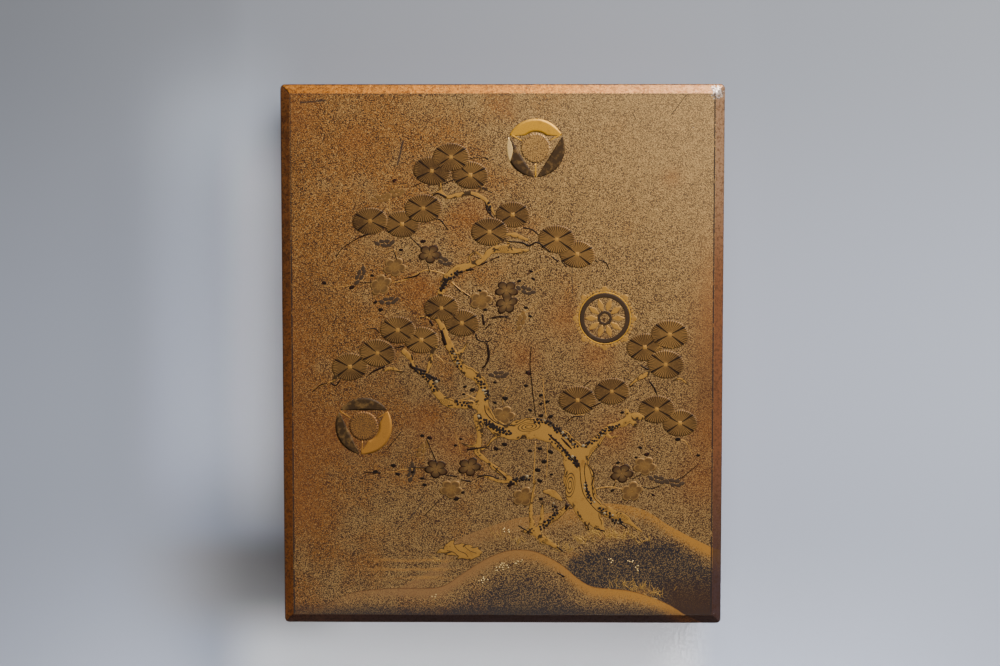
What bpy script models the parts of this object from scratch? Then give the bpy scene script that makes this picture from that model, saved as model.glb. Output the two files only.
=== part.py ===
"""A Japanese lacquered writing box: an overhanging lid with chamfered edges on a shallow base.

The origin is the middle of the underside. X runs across the box, Y along it towards the top of
the lid's picture, and Z up. Sizes are in metres.
"""

import bmesh
import bpy

# The lid, outside
LID_WIDTH = 0.205
LID_LENGTH = 0.252
LID_HEIGHT = 0.035
LID_CORNER_RADIUS = 0.0022
CHAMFER_WIDTH = 0.0043
CHAMFER_DROP = 0.0026

# The lid, inside
LID_WALL = 0.0038
LID_BOARD = 0.0046
LID_INNER_RADIUS = 0.0016

# The base, a tray that the lid slips over
BASE_SHOWING = 0.011
BASE_WALL = 0.0034
BASE_BOARD = 0.0040
BASE_INNER_RADIUS = 0.0020

# The recess in the base's underside, which leaves a foot rim
FOOT_HEIGHT = 0.0010
FOOT_RIM = 0.0070

# Fits: the lid slips over the base, and its ceiling comes down onto the base's rim
SIDE_GAP = 0.0004
RIM_GAP = 0.0003

# Finish of the solids
EDGE_SOFTENING = 0.0003
EDGE_STEPS = 2
CORNER_STEPS = 6
SHARP_EDGE = 0.35
CUT_THROUGH = 0.002

# Heights and inner sizes that follow from the values above
LID_UNDERSIDE = BASE_SHOWING
TOP = LID_UNDERSIDE + LID_HEIGHT
CEILING = TOP - LID_BOARD
BASE_RIM = CEILING - RIM_GAP
BASE_FLOOR = FOOT_HEIGHT + BASE_BOARD
BASE_WIDTH = LID_WIDTH - 2 * (LID_WALL + SIDE_GAP)
BASE_LENGTH = LID_LENGTH - 2 * (LID_WALL + SIDE_GAP)
BASE_CORNER_RADIUS = LID_INNER_RADIUS

GOLD_SPRINKLED = (0.42, 0.26, 0.10, 1.0)


def clear_scene():
    for item in list(bpy.data.objects):
        bpy.data.objects.remove(item, do_unlink=True)


def new_collection(name):
    made = bpy.data.collections.new(name)
    bpy.context.scene.collection.children.link(made)
    return made


def lacquer(name):
    """Gold flakes under clear lacquer: a warm brown gold with a soft gloss."""
    material = bpy.data.materials.new(name)
    material.use_nodes = True
    shader = material.node_tree.nodes["Principled BSDF"]
    shader.inputs["Base Color"].default_value = GOLD_SPRINKLED
    shader.inputs["Roughness"].default_value = 0.38
    shader.inputs["Metallic"].default_value = 0.35
    return material


def block(name, collection, width, length, low, high, corner_radius=0.0, chamfer=None):
    """A box from low to high, centred on Z. Its upright edges are rounded, or its top is chamfered.

    chamfer is (width, drop): the top face is set in by the width and raised by the drop, which
    mitres the four slopes at the corners.
    """
    drop = chamfer[1] if chamfer else 0.0
    wall_top = high - drop
    mesh = bpy.data.meshes.new(name)
    form = bmesh.new()
    bmesh.ops.create_cube(form, size=1.0)
    bmesh.ops.scale(form, vec=(width, length, wall_top - low), verts=form.verts)
    bmesh.ops.translate(form, vec=(0.0, 0.0, (low + wall_top) / 2), verts=form.verts)
    if corner_radius:
        upright = [e for e in form.edges if e.verts[0].co.z != e.verts[1].co.z]
        bmesh.ops.bevel(
            form,
            geom=upright,
            offset=corner_radius,
            segments=CORNER_STEPS,
            profile=0.5,
            affect="EDGES",
        )
    if chamfer:
        top = [f for f in form.faces if f.normal.z > 0.5]
        bmesh.ops.inset_individual(form, faces=top, thickness=chamfer[0], depth=drop)
    form.to_mesh(mesh)
    form.free()
    made = bpy.data.objects.new(name, mesh)
    collection.objects.link(made)
    return made


def as_helper(item):
    """Marks a cutter or another helper, which isn't a piece of the box."""
    item.hide_render = True
    item.display_type = "WIRE"
    return item


def combine(item, operation, helper):
    cut = item.modifiers.new(f"{operation.lower()} {helper.name}", "BOOLEAN")
    cut.operation = operation
    cut.object = helper
    cut.solver = "EXACT"


def soften_edges(item):
    """Lacquer never holds a knife edge, so each sharp edge is a little rounded."""
    bevel = item.modifiers.new("softened edges", "BEVEL")
    bevel.width = EDGE_SOFTENING
    bevel.segments = EDGE_STEPS
    bevel.limit_method = "ANGLE"
    bevel.angle_limit = SHARP_EDGE
    bevel.use_clamp_overlap = True


def make_lid(parts, helpers, finish):
    """The lid: a rounded block cut to the chamfered shape, then hollowed from below.

    The slopes run on past the walls at the same pitch, so that they cut the walls cleanly.
    """
    lid = block("lid", parts, LID_WIDTH, LID_LENGTH, LID_UNDERSIDE, TOP, LID_CORNER_RADIUS)
    run_on = CUT_THROUGH * CHAMFER_DROP / CHAMFER_WIDTH
    slopes = block(
        "lid_slopes",
        helpers,
        LID_WIDTH + 2 * CUT_THROUGH,
        LID_LENGTH + 2 * CUT_THROUGH,
        LID_UNDERSIDE - CUT_THROUGH,
        TOP,
        chamfer=(CHAMFER_WIDTH + CUT_THROUGH, CHAMFER_DROP + run_on),
    )
    hollow = block(
        "lid_hollow",
        helpers,
        LID_WIDTH - 2 * LID_WALL,
        LID_LENGTH - 2 * LID_WALL,
        LID_UNDERSIDE - CUT_THROUGH,
        CEILING,
        LID_INNER_RADIUS,
    )
    combine(lid, "INTERSECT", as_helper(slopes))
    combine(lid, "DIFFERENCE", as_helper(hollow))
    soften_edges(lid)
    lid.data.materials.append(finish)
    return lid


def make_base(parts, helpers, finish):
    """The base: a rounded block, hollowed from above and relieved below to leave the foot rim."""
    base = block("base", parts, BASE_WIDTH, BASE_LENGTH, 0.0, BASE_RIM, BASE_CORNER_RADIUS)
    hollow = block(
        "base_hollow",
        helpers,
        BASE_WIDTH - 2 * BASE_WALL,
        BASE_LENGTH - 2 * BASE_WALL,
        BASE_FLOOR,
        BASE_RIM + CUT_THROUGH,
        BASE_INNER_RADIUS,
    )
    recess = block(
        "base_recess",
        helpers,
        BASE_WIDTH - 2 * FOOT_RIM,
        BASE_LENGTH - 2 * FOOT_RIM,
        -CUT_THROUGH,
        FOOT_HEIGHT,
        BASE_INNER_RADIUS,
    )
    combine(base, "DIFFERENCE", as_helper(hollow))
    combine(base, "DIFFERENCE", as_helper(recess))
    soften_edges(base)
    base.data.materials.append(finish)
    return base


def main():
    clear_scene()
    parts = new_collection("writing_box")
    helpers = new_collection("cutters")
    make_lid(parts, helpers, lacquer("lid lacquer"))
    make_base(parts, helpers, lacquer("base lacquer"))


main()
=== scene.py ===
import math

import bpy
import numpy as np
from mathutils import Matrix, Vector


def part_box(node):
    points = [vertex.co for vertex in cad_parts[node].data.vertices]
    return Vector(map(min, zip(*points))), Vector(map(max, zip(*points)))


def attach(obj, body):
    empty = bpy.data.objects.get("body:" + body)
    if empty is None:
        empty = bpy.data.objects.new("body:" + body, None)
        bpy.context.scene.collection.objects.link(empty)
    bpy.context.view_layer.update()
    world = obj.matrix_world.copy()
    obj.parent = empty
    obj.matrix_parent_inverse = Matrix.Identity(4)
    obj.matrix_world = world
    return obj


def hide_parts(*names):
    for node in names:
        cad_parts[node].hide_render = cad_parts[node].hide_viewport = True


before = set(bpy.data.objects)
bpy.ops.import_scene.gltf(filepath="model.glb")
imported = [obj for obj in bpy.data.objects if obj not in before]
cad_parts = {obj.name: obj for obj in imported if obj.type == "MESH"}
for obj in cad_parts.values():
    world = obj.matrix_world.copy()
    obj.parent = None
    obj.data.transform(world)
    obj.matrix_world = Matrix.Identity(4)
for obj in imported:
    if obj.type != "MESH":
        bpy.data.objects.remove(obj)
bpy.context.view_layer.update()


# The lid
# One shell of thin wood that slips over the base, lacquered inside and out. Gold flakes are
# sprinkled into the wet brown lacquer and sealed under clear coats, which wear off the ridges first.
lid_low, lid_high = (np.array(corner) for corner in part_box("lid"))
LID_HALF = (lid_high - lid_low)[:2] / 2
PICTURE_RELIEF = 0.0003
LID_TOP = lid_high[2] - PICTURE_RELIEF
LID_RIM = lid_low[2]
LID_CORNER = 0.0022
CHAMFER_WIDTH = 0.0043
CHAMFER_DROP = 0.0026
LID_WALL = 0.0038
LID_BOARD = 0.0046
LID_INNER_CORNER = 0.0016
LID_CEILING = LID_TOP - LID_BOARD
CEILING_CURVE = 0.001
RIDGE_SOFTNESS = 0.00016
EDGE_ROUND = 0.00035
PANEL_STEP = 0.0024
PANEL_HALF = LID_HALF - CHAMFER_WIDTH
NEAR_RIDGE = 0.001 * np.array([-1.2, -0.6, -0.3, -0.15, 0, 0.15, 0.3, 0.6, 1.2])
LID_CORNER_STEPS = 9


def both_ways(values):
    """The same values on either side of zero, in rising order."""
    values = np.unique(np.asarray(values))
    return np.concatenate([-values[::-1][: np.count_nonzero(values > 0)], values])


def stations(straight, corner_steps):
    """Grid lines across a rounded rectangle, as two shares each.

    The first is the place along the straight stretch, from -1 to 1. The second is the place in the
    corner's square, from -1 to 1, and is 0 on the straight stretch.
    """
    run = both_ways(straight)
    turn = np.arange(1, corner_steps + 1) / corner_steps
    straight_share = np.concatenate([-np.ones(corner_steps), run, np.ones(corner_steps)])
    return straight_share, np.concatenate([-turn[::-1], np.zeros(len(run)), turn])


def plan(half, radius, lines):
    """The grid of a rounded rectangle: x and y of every crossing of its grid lines.

    Each corner's square (a, b) is drawn onto a quarter disc by (a√(1-b²/2), b√(1-a²/2)).
    """
    across, along = lines
    a, b = np.meshgrid(across[1], along[1], indexing="ij")
    p, q = np.meshgrid(across[0], along[0], indexing="ij")
    x = p * (half[0] - radius) + radius * a * np.sqrt(1 - b**2 / 2)
    y = q * (half[1] - radius) + radius * b * np.sqrt(1 - a**2 / 2)
    return x, y


def rim_of(grid):
    """The outermost row of a grid, once round, anticlockwise seen from above."""
    return np.concatenate([grid[:-1, 0], grid[-1, :-1], grid[:0:-1, -1], grid[0, :0:-1]])


def outline_rings(half, section, lines):
    """A profile carried once round a rounded rectangle, as rings of points.

    Each row of the section gives how far its ring is set in, its corners' radius and its height.
    """
    rings = []
    for inset, radius, z in section:
        x, y = plan(half - inset, radius, lines)
        rings.append(np.stack(np.broadcast_arrays(rim_of(x), rim_of(y), z), axis=-1))
    return np.stack(rings)


def grid_faces(rows, columns):
    """Quads between the points of a grid, facing up where x grows with the row."""
    index = np.arange(rows * columns).reshape(rows, columns)
    corners = [index[:-1, :-1], index[1:, :-1], index[1:, 1:], index[:-1, 1:]]
    return np.stack(corners, axis=-1).reshape(-1, 4)


def ring_faces(rings):
    """Quads between rings of points, each ring an array of vertex numbers of the same length."""
    rings = np.asarray(rings)
    after = np.roll(rings, -1, axis=1)
    corners = [rings[:-1], rings[1:], after[1:], after[:-1]]
    return np.stack(corners, axis=-1).reshape(-1, 4)


def new_piece(name, points, faces, material):
    """Puts points and faces into a mesh object of its own, which rides on the box's one body."""
    mesh = bpy.data.meshes.new(name)
    mesh.from_pydata(np.asarray(points).tolist(), [], [list(map(int, face)) for face in faces])
    mesh.validate()
    mesh.polygons.foreach_set("use_smooth", np.full(len(mesh.polygons), True))
    mesh.materials.append(material)
    piece = bpy.data.objects.new(name, mesh)
    bpy.context.scene.collection.objects.link(piece)
    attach(piece, "root")
    return piece


def write_attributes(piece, **fields):
    """Stores one number of each name for each vertex, for the material to read."""
    for name, values in fields.items():
        layer = piece.data.attributes.new(name, "FLOAT", "POINT")
        layer.data.foreach_set("value", np.asarray(values, dtype=np.float32))


def past_ridge(x, y):
    """How far a point lies outside the flat panel, with the ridge and the mitres a little softened.

    |x| and |y|, each less the panel's half, give two distances. The larger is t. Where the two are
    d apart, less than three times the softness s, t grows by 0.75·s·(1 - d / 3s)². It is then
    turned into (t + √(t² + s²)) / 2.
    """
    over = np.stack([np.abs(x) - PANEL_HALF[0], np.abs(y) - PANEL_HALF[1]])
    apart = np.maximum(0, 1 - np.abs(over[0] - over[1]) / (3 * RIDGE_SOFTNESS))
    t = over.max(axis=0) + 0.75 * RIDGE_SOFTNESS * apart**2
    return (t + np.sqrt(t**2 + RIDGE_SOFTNESS**2)) / 2


def ridge_lines(half, panel_half):
    """Grid lines over half the lid: even on the panel, close together at the ridge and the edge."""
    straight = half - LID_CORNER
    ridge = panel_half + NEAR_RIDGE
    even = np.linspace(0, ridge[0], round(ridge[0] / PANEL_STEP))
    return stations(np.concatenate([even, ridge, [straight]]) / straight, LID_CORNER_STEPS)


lid_grid = [ridge_lines(half, panel_half) for half, panel_half in zip(LID_HALF, PANEL_HALF)]
lid_x, lid_y = plan(LID_HALF, LID_CORNER, lid_grid)
lid_z = LID_TOP - CHAMFER_DROP / CHAMFER_WIDTH * past_ridge(lid_x, lid_y)
# The grid's outermost row is drawn in by the edge's rounding, which the wall's first rings finish.
drawn_in = plan(LID_HALF - EDGE_ROUND, LID_CORNER - EDGE_ROUND, lid_grid)
for grid, inner in zip((lid_x, lid_y), drawn_in):
    grid[[0, -1]], grid[:, [0, -1]] = inner[[0, -1]], inner[:, [0, -1]]

rim_z = rim_of(lid_z)
wall_top, wall_foot = rim_z - EDGE_ROUND, LID_RIM + EDGE_ROUND
quarter = np.radians([0, 30, 60, 90])
# An edge's rounding at those turns: how far in from the face it starts on, and from the other one
rounding = list(zip(EDGE_ROUND * (1 - np.cos(quarter)), EDGE_ROUND * (1 - np.sin(quarter))))
lid_section = [
    *((inset, LID_CORNER - inset, rim_z - drop) for drop, inset in rounding[1:]),
    *((0, LID_CORNER, (1 - share) * wall_top + share * wall_foot) for share in (0.25, 0.5, 0.75)),
    *((inset, LID_CORNER - inset, LID_RIM + rise) for inset, rise in rounding),
    *((LID_WALL - inset, LID_INNER_CORNER, LID_RIM + rise) for inset, rise in rounding[::-1]),
    (LID_WALL, LID_INNER_CORNER, LID_CEILING - CEILING_CURVE),
    (LID_WALL + 0.3 * CEILING_CURVE, LID_INNER_CORNER, LID_CEILING - 0.3 * CEILING_CURVE),
    (LID_WALL + CEILING_CURVE, LID_INNER_CORNER, LID_CEILING),
]
lid_walls = outline_rings(LID_HALF, lid_section, lid_grid)
wall_numbers = lid_x.size + np.arange(lid_walls[..., 0].size).reshape(lid_walls.shape[:2])
rings = [rim_of(np.arange(lid_x.size).reshape(lid_x.shape)), *wall_numbers]
lid_faces = [*grid_faces(*lid_x.shape), *ring_faces(rings), rings[-1][::-1]]
lid_panel = np.stack([lid_x, lid_y, lid_z], axis=-1)
lid_points = np.concatenate([lid_panel.reshape(-1, 3), lid_walls.reshape(-1, 3)])


class Value:
    """A number or colour that a material works out at every place. Signs of arithmetic add nodes."""

    def __init__(self, socket):
        self.socket = socket

    def __add__(self, other):
        return calc("ADD", self, other)

    def __sub__(self, other):
        return calc("SUBTRACT", self, other)

    def __mul__(self, other):
        return calc("MULTIPLY", self, other)

    def __truediv__(self, other):
        return calc("DIVIDE", self, other)


def put(socket, value):
    """Links a socket to a worked out value, or sets it to a plain one: a colour is opaque."""
    if isinstance(value, Value):
        tree.links.new(value.socket, socket)
    elif socket.type == "RGBA":
        socket.default_value = (*value, 1)
    else:
        socket.default_value = value


def add(kind, inputs=None, output=0, **settings):
    """Adds a node to the material in hand, and returns the value at one output, or at every one."""
    node = tree.nodes.new(f"ShaderNode{kind}")
    for name, value in settings.items():
        setattr(node, name, value)
    for name, value in (inputs or {}).items():
        put(node.inputs[name], value)
    return [Value(socket) for socket in node.outputs] if output == "every" else Value(node.outputs[output])


def calc(operation, *values):
    """One step of arithmetic."""
    return add("Math", dict(enumerate(values)), operation=operation)


def fade(value, start, end, low=0.0, high=1.0):
    """A smooth change from low to high while the value goes from start to end."""
    inputs = {"Value": value, "From Min": start, "From Max": end, "To Min": low, "To Max": high}
    return add("MapRange", inputs, interpolation_type="SMOOTHSTEP")


def held(value):
    """A number kept between 0 and 1."""
    return add("Clamp", {0: value})


def largest(first, *others):
    """The largest of several numbers at each place."""
    for other in others:
        first = calc("MAXIMUM", first, other)
    return first


def layers(colour, *coats):
    """A colour with others laid over it in turn, each given after the share that it covers.

    A Mix node's sockets share their names: 0 is the share, 6 and 7 are the colours, and 2 comes out.
    """
    for share, coat in coats:
        colour = add("Mix", {0: share, 6: colour, 7: coat}, 2, data_type="RGBA")
    return colour


def noise(size, detail=2.0, roughness=0.5):
    """Cloudy noise from 0 to 1, whose clouds are about that many metres across."""
    inputs = {"Vector": place, "Scale": 1 / size, "Detail": detail, "Roughness": roughness}
    return add("TexNoise", inputs)


def attribute(name):
    """The numbers that a piece's vertices store under that name."""
    return add("Attribute", output="Fac", attribute_name=name)


def distance(first, second):
    """How far apart two places are."""
    return add("VectorMath", {0: first, 1: second}, "Value", operation="DISTANCE")


def axes():
    """How far across, along and up a place lies in the frame."""
    return add("SeparateXYZ", {0: place}, "every")


def new_finish(name):
    """Takes a new material in hand: tree holds its nodes, and place its Object coordinates."""
    global tree, place
    material = bpy.data.materials.new(name)
    material.use_nodes = True
    tree = material.node_tree
    place = add("TexCoord", output="Object")
    return material


def set_shader(**sockets):
    """Gives the shader its inputs, whose names are written with underscores."""
    for name, value in sockets.items():
        put(tree.nodes["Principled BSDF"].inputs[name.replace("_", " ")], value)


CLEAR_COAT_IOR = 1.42


def polished(material, colour, roughness, grain=0.0006, detail=2.0, depth=0.00002, **sockets):
    """Ends a material with its colour, its roughness and tiny ups and downs in the lacquer.

    The grain is how wide those are and the depth how high, in metres.
    """
    bump = add("Bump", {"Height": noise(grain, detail), "Distance": depth})
    set_shader(**{"IOR": CLEAR_COAT_IOR, **sockets}, Base_Color=colour, Roughness=roughness, Normal=bump)
    return material


def smooth_curve(points, spacing):
    """A curve through the points, with a new point about every spacing.

    Between b and c, with a before and d after them, it is b + t·(c - a + bend) / 2, where t goes
    from 0 to 1 and bend is t·(2a - 5b + 4c - d + t·(3(b - c) + d - a)). Any further numbers in a
    row, such as a width, run along smoothly with the place.
    """
    rows = np.asarray(points, dtype=float)
    rows = np.concatenate([2 * rows[:1] - rows[1:2], rows, 2 * rows[-1:] - rows[-2:-1]])
    stretches = []
    for a, b, c, d in zip(rows[:-3], rows[1:-2], rows[2:-1], rows[3:]):
        steps = max(2, math.ceil(math.dist(b[:2], c[:2]) / spacing))
        t = np.arange(steps)[:, None] / steps
        bend = t * (2 * a - 5 * b + 4 * c - d + t * (3 * (b - c) + d - a))
        stretches.append(b + t * (c - a + bend) / 2)
    return np.concatenate([*stretches, rows[-2:-1]])


# In millimetres on the lid: the hills' crests, then soft patches of the ground by their middle and
# half widths, then scratches by their ends and width
BACK_HILL = [
    (-110, -140), (-34, -102), (-26, -92), (-19, -86), (3, -78), (14, -76), (31, -73), (48, -70), (66, -73),
    (79, -81), (99, -91), (110, -94),
]
DARK_HILL = [
    (-110, -150), (19, -105), (26, -98), (33, -93), (46, -90), (57, -88), (75, -86), (84, -90), (99, -100),
    (110, -106),
]
FRONT_HILL = [
    (-110, -123), (-98, -121), (-84, -118), (-73, -113), (-64, -111), (-51, -110), (-37, -110), (-28, -109),
    (-20, -104), (-11, -98), (-3, -94), (4, -92), (12, -92), (19, -94), (28, -99), (35, -105), (42, -109),
    (51, -110), (60, -111), (70, -114), (79, -118), (87, -123), (99, -129), (110, -134),
]
WARM_PATCHES = [
    (-96, 113, 12), (-99, 5, 12, 30), (-98, -45, 15, 22), (-94, -72, 14), (-74, -36, 17, 12), (-38, 32, 9),
    (-37, -31, 9), (-22, -42, 9), (-15, 68, 10), (0, 115, 7), (29, 18, 9), (44, 1, 8), (10, 0, 7),
    (98, 5, 11, 34), (97, -35, 12), (93, -59, 11), (52, -36, 9), (78, 83, 4), (-68, 102, 7),
    (101, 32, 9, 26),
]
PALE_PATCHES = [(-72, 112, 10, 8), (-36, 115, 13, 7), (-25, 76, 10, 7), (-52, 50, 15, 9), (-6, 106, 8, 10)]
DIM_PATCHES = [
    (-42, -12, 36, 26), (10, -31, 26, 25), (93, -4, 12, 38), (-64, -38, 20, 14), (-36, 14, 18, 10),
    (-88, 28, 13, 22), (100, -14, 9, 30), (99, -8, 10, 26), (-99, 85, 9, 34), (-97, -25, 9, 30),
]
MOUNDS = [(49, -83, 13, 4.0), (66, -110.5, 9, 3.2), (32, -93, 6, 2.6), (17, -84, 6, 2.4)]
SCRATCHES = [
    ((-94.5, 117.5), (-83.0, 118.5), 0.75), ((-46.5, 99.5), (-49.0, 88.5), 0.85),
    ((86.0, 121.0), (79.0, 111.5), 0.35), ((61.0, 112.5), (62.5, 109.5), 0.40),
    ((-59.0, -44.0), (-53.5, -36.5), 0.40), ((-43.5, -77.5), (-37.0, -69.0), 0.35),
    ((32.5, 46.0), (32.8, 28.0), 0.30),
]


def patches(places, points):
    """How strongly points lie in soft round or oval patches, each exp(-(dx/a)² - (dy/b)²)."""
    strength = np.zeros(len(points))
    for middle_x, middle_y, half_x, *half_y in places:
        half_y = half_y[0] if half_y else half_x
        away = (1000 * points[:, :2] - (middle_x, middle_y)) / (half_x, half_y)
        strength += np.exp(-(away**2).sum(axis=1))
    return strength


def on_lid(points):
    """Places in the frame for points drawn in millimetres on the lid, with their height above it.

    The drawing was measured straight off a picture taken at a slight tilt, which is taken out here:
    x is multiplied by 0.9925 - 0.000085·y, and y grows by 1.5 - 0.00008·(y + 15)².
    """
    x, y, height = np.asarray(points, dtype=float).T
    level = [x * (0.9925 - 0.000085 * y), y + 1.5 - 0.00008 * (y + 15) ** 2, height]
    return np.stack(level, axis=-1) / 1000 + [0, 0, LID_TOP]


def below(crest, points):
    """How many millimetres points lie under a hill's crest, which is a curve."""
    line = on_lid([(*point, 0) for point in smooth_curve(crest, 1.0)])
    return 1000 * (np.interp(points[:, 0], line[:, 0], line[:, 1]) - points[:, 1])


LACQUER_BROWN = (0.036, 0.015, 0.008)
LACQUER_RED = (0.085, 0.026, 0.007)
LACQUER_BLACK = (0.017, 0.0135, 0.0155)
FLAKE_DULL = (0.15, 0.064, 0.015)
FLAKE_BRIGHT = (0.62, 0.36, 0.12)
FLAKE_ORANGE = (0.37, 0.150, 0.027)
FLAKE_PALE = (0.42, 0.26, 0.095)
HILL_ORANGE = (0.250, 0.128, 0.048)
HILL_GOLD = (0.40, 0.182, 0.034)
# The pale veil of a painted sheen over the far right corner of the ground
PAINTED_SHEEN_COLOUR = (0.52, 0.35, 0.17)
EDGE_BROWN = (0.142, 0.043, 0.011)
EDGE_GOLD = (0.270, 0.093, 0.021)
EDGE_WARM = (0.37, 0.108, 0.015)
EDGE_RED = (0.119, 0.045, 0.020)
# The right slope's paler far end is painted light, and its darker near end painted shade
EDGE_PINK_LIT = (0.198, 0.112, 0.060)
EDGE_PAINTED_SHADE = (0.030, 0.021, 0.025)
# The near slope's darker lacquer, deepened by painted shade
EDGE_DARK_AND_SHADE = (0.069, 0.035, 0.027)
EDGE_BAND = (0.185, 0.066, 0.018)
EDGE_LIT = (0.310, 0.110, 0.012)
# A painted highlight towards the far slope's right end
EDGE_PAINTED_HIGHLIGHT = (0.235, 0.114, 0.060)
MIST_GOLD = (0.40, 0.195, 0.045)
CHIP_PALE = (0.40, 0.33, 0.28)
CHIP_DARK = (0.075, 0.060, 0.055)
RUST = (0.20, 0.062, 0.015)
FLAKE_SIZE = 0.00035
BLOTCH_SIZE = 0.022
MIST_SPACING = 0.0042


def sprinkled(density, paleness, lacquer, painted_glint=0.0):
    """Gold flakes in lacquer: returns the colour, and where a flake lies.

    Space is parted into cells of the flake's size. A cell holds a flake where its random number is
    under the density, and the flake takes another random number for how brightly it lies, to which
    the painted glint is added: brightness painted on where the light would catch the flakes.
    """
    gap, random_colour, *_ = add("TexVoronoi", {"Vector": place, "Scale": 1 / FLAKE_SIZE}, "every")
    chance, gleam, age = add("SeparateColor", {0: random_colour}, "every")
    flake = fade(density - chance, -0.08, 0.08) * fade(gap, 0.75, 0.35)
    gold = layers(
        FLAKE_ORANGE,
        (held(chance * 0.6 + (paleness - 0.18)), FLAKE_PALE),
        (fade(gleam + painted_glint, 0.55, 1.0), FLAKE_BRIGHT),
        (fade(age, 0.5, 0.0, 0.0, 0.75), FLAKE_DULL),
    )
    return layers(lacquer, (flake, gold)), flake


def near_line(start, end, width):
    """1 on a scratch between two places of the picture, and 0 beyond its width, in millimetres.

    The nearest place on the line is start + t · run, where t is ((place - start) · run) / |run|²,
    held between 0 and 1.
    """
    ends = on_lid([(*start, 0), (*end, 0)])
    run = ends[1] - ends[0]
    from_start = add("VectorMath", {0: place, 1: ends[0]}, operation="SUBTRACT")
    share = add("VectorMath", {0: from_start, 1: run / run.dot(run)}, "Value", operation="DOT_PRODUCT")
    nearest = add("VectorMath", {0: run, "Scale": held(share)}, operation="SCALE")
    return fade(distance(from_start, nearest), width / 1000, 0.0)


lid_finish = new_finish("lid lacquer")
x, y, z = axes()
out_x = calc("ABSOLUTE", x) - PANEL_HALF[0]
out_y = calc("ABSOLUTE", y) - PANEL_HALF[1]
past = largest(out_x, out_y)
chamfer = fade(past, -0.00005, 0.00015)
corner_side = out_x - out_y
on_top = fade(z, LID_TOP - 0.0036, LID_TOP - 0.0029)
side_slope = chamfer * fade(corner_side, -0.0001, 0.0001)
end_slope = chamfer * fade(corner_side, 0.0001, -0.0001) * on_top
right_slope = side_slope * fade(x, -0.001, 0.001)
far_slope = end_slope * fade(y, -0.001, 0.001)
near_slope = end_slope * fade(y, 0.001, -0.001)
warm = attribute("warm")

# The three hills, each from how far a place lies under its crest, and the mist before them
back, dark, front = attribute("below_back"), attribute("below_dark"), attribute("below_front")
outside_front = fade(front, 0.12, -0.12)
dark_shade = fade(dark, -4.0, 5.0) * outside_front
# The near slope, which faces away from the light, is darkened here partly for its darker lacquer and partly
# as painted shade
shade = largest(fade(front, 3.0, 20.0, 0.0, 0.90), dark_shade, near_slope) * on_top
panel_only = fade(near_slope, 1, 0) * on_top
front_gold = fade(front, -0.1, 0.1) * fade(front, 10.0, 0.5) * panel_only
front_gold = front_gold * fade(x, -0.090, -0.030, 0.45, 1.0)
back_depth = back / fade(x, 0.035, 0.075, 10.0, 6.5)
back_gold = fade(back, -0.1, 0.1) * fade(back_depth, 1.5, 0.1) * outside_front * on_top
back_gold = back_gold * fade(x, 0.070, 0.095, 0.75, 1.15)
crest_line = fade(front, -0.25, 0.0) * fade(front, 0.5, 0.15) * panel_only
mist_wave = calc("SINE", y * (2 * math.pi / MIST_SPACING) + (noise(0.012) * 5.0 - 2.0))
mist = fade(mist_wave, -0.2, 1.0, 0.0, 0.70) * fade(y, -0.0915, -0.0955) * fade(y, -0.108, -0.103)
mist = mist * fade(x, -0.085, -0.050) * fade(x, -0.012, -0.030) * outside_front
powder = largest(front_gold, back_gold, mist, attribute("mound") * 0.62)
settled = fade(powder * 0.62 + noise(0.0004, 1.0), 0.68, 1.16)
powder_gold = layers(HILL_ORANGE, (fade(x, -0.04, 0.07), HILL_GOLD), (mist * 1.1, MIST_GOLD))

# The ground: flakes that grow paler to the far right, darkened towards the near side by painted
# shade, with a painted sheen over the far right corner
density = fade(noise(0.006, 3.0), 0.3, 0.7, 0.66, 0.84) - shade * fade(x, 0.045, 0.090, 0.33, 0.37)
lacquer = layers(LACQUER_BROWN, (chamfer, LACQUER_RED), (shade, LACQUER_BLACK))
lean = x * 5.0 + (y * -1.5 + noise(BLOTCH_SIZE, 4.0, 0.6) * 1.7)
paleness = held(fade(lean, 0.38, 0.92) - (chamfer * 0.7 + warm))
# A painted sheen: towards the far right corner the ground is veiled paler and its flakes are given a
# painted glint
painted_sheen = fade(x + y, 0.05, 0.22)
ground, flake = sprinkled(density - chamfer * 0.14, paleness, lacquer, painted_sheen * 0.30)
# Dimmer in soft patches and on the hills, and towards the near side in painted shade
dim_and_painted_shade = attribute("dim") * 0.15 + largest(fade(y, 0.07, -0.10, 0.03, 0.22), shade * 0.49)
# Painted shade: the panel darkens over its last few millimetres before the near slope
near_edge_painted_shade = fade(y, -0.1150, -0.1210, 0.0, 0.66) * fade(front_gold, 0, 1, 1.0, 0.5) * on_top
# The near right corner is darker ground, deepened by painted shade
near_corner_dark_and_shade = fade(x, 0.068, 0.082) * fade(y, -0.098, -0.115, 0.0, 0.76) * on_top
ground = layers(
    ground,
    (dim_and_painted_shade, lacquer),
    (warm * 0.5, RUST),
    (settled, powder_gold),
    (crest_line * 0.55, LACQUER_RED),
    (near_edge_painted_shade, LACQUER_BLACK),
    (near_corner_dark_and_shade * fade(front_gold, 0, 0.5, 1, 0), LACQUER_BROWN),
    (painted_sheen * fade(chamfer, 1, 0, 0.09, 0.20), PAINTED_SHEEN_COLOUR),
)

# The slopes are rubbed smooth: red-brown on the left and right, dark on the near one. Painted light
# and shade lie in their tones too: the right slope is paler at its far end and darker at its near end,
# the far slope is painted lit with a highlight towards its right end, and the near slope's dark is
# deepened by painted shade.
patchy = noise(0.004, 3.0, 0.7)
# The right slope: red, painted paler towards the far end and darker towards the near end
right_red_with_painted_light = layers(EDGE_RED, (fade(y, 0.03, 0.09), EDGE_PINK_LIT), (fade(y, -0.03, -0.10), EDGE_PAINTED_SHADE))
near_band = near_slope * fade(front, -0.1, 0.1) * fade(front, 9.0, 2.0) * fade(x, 0.03, 0.06)
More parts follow.
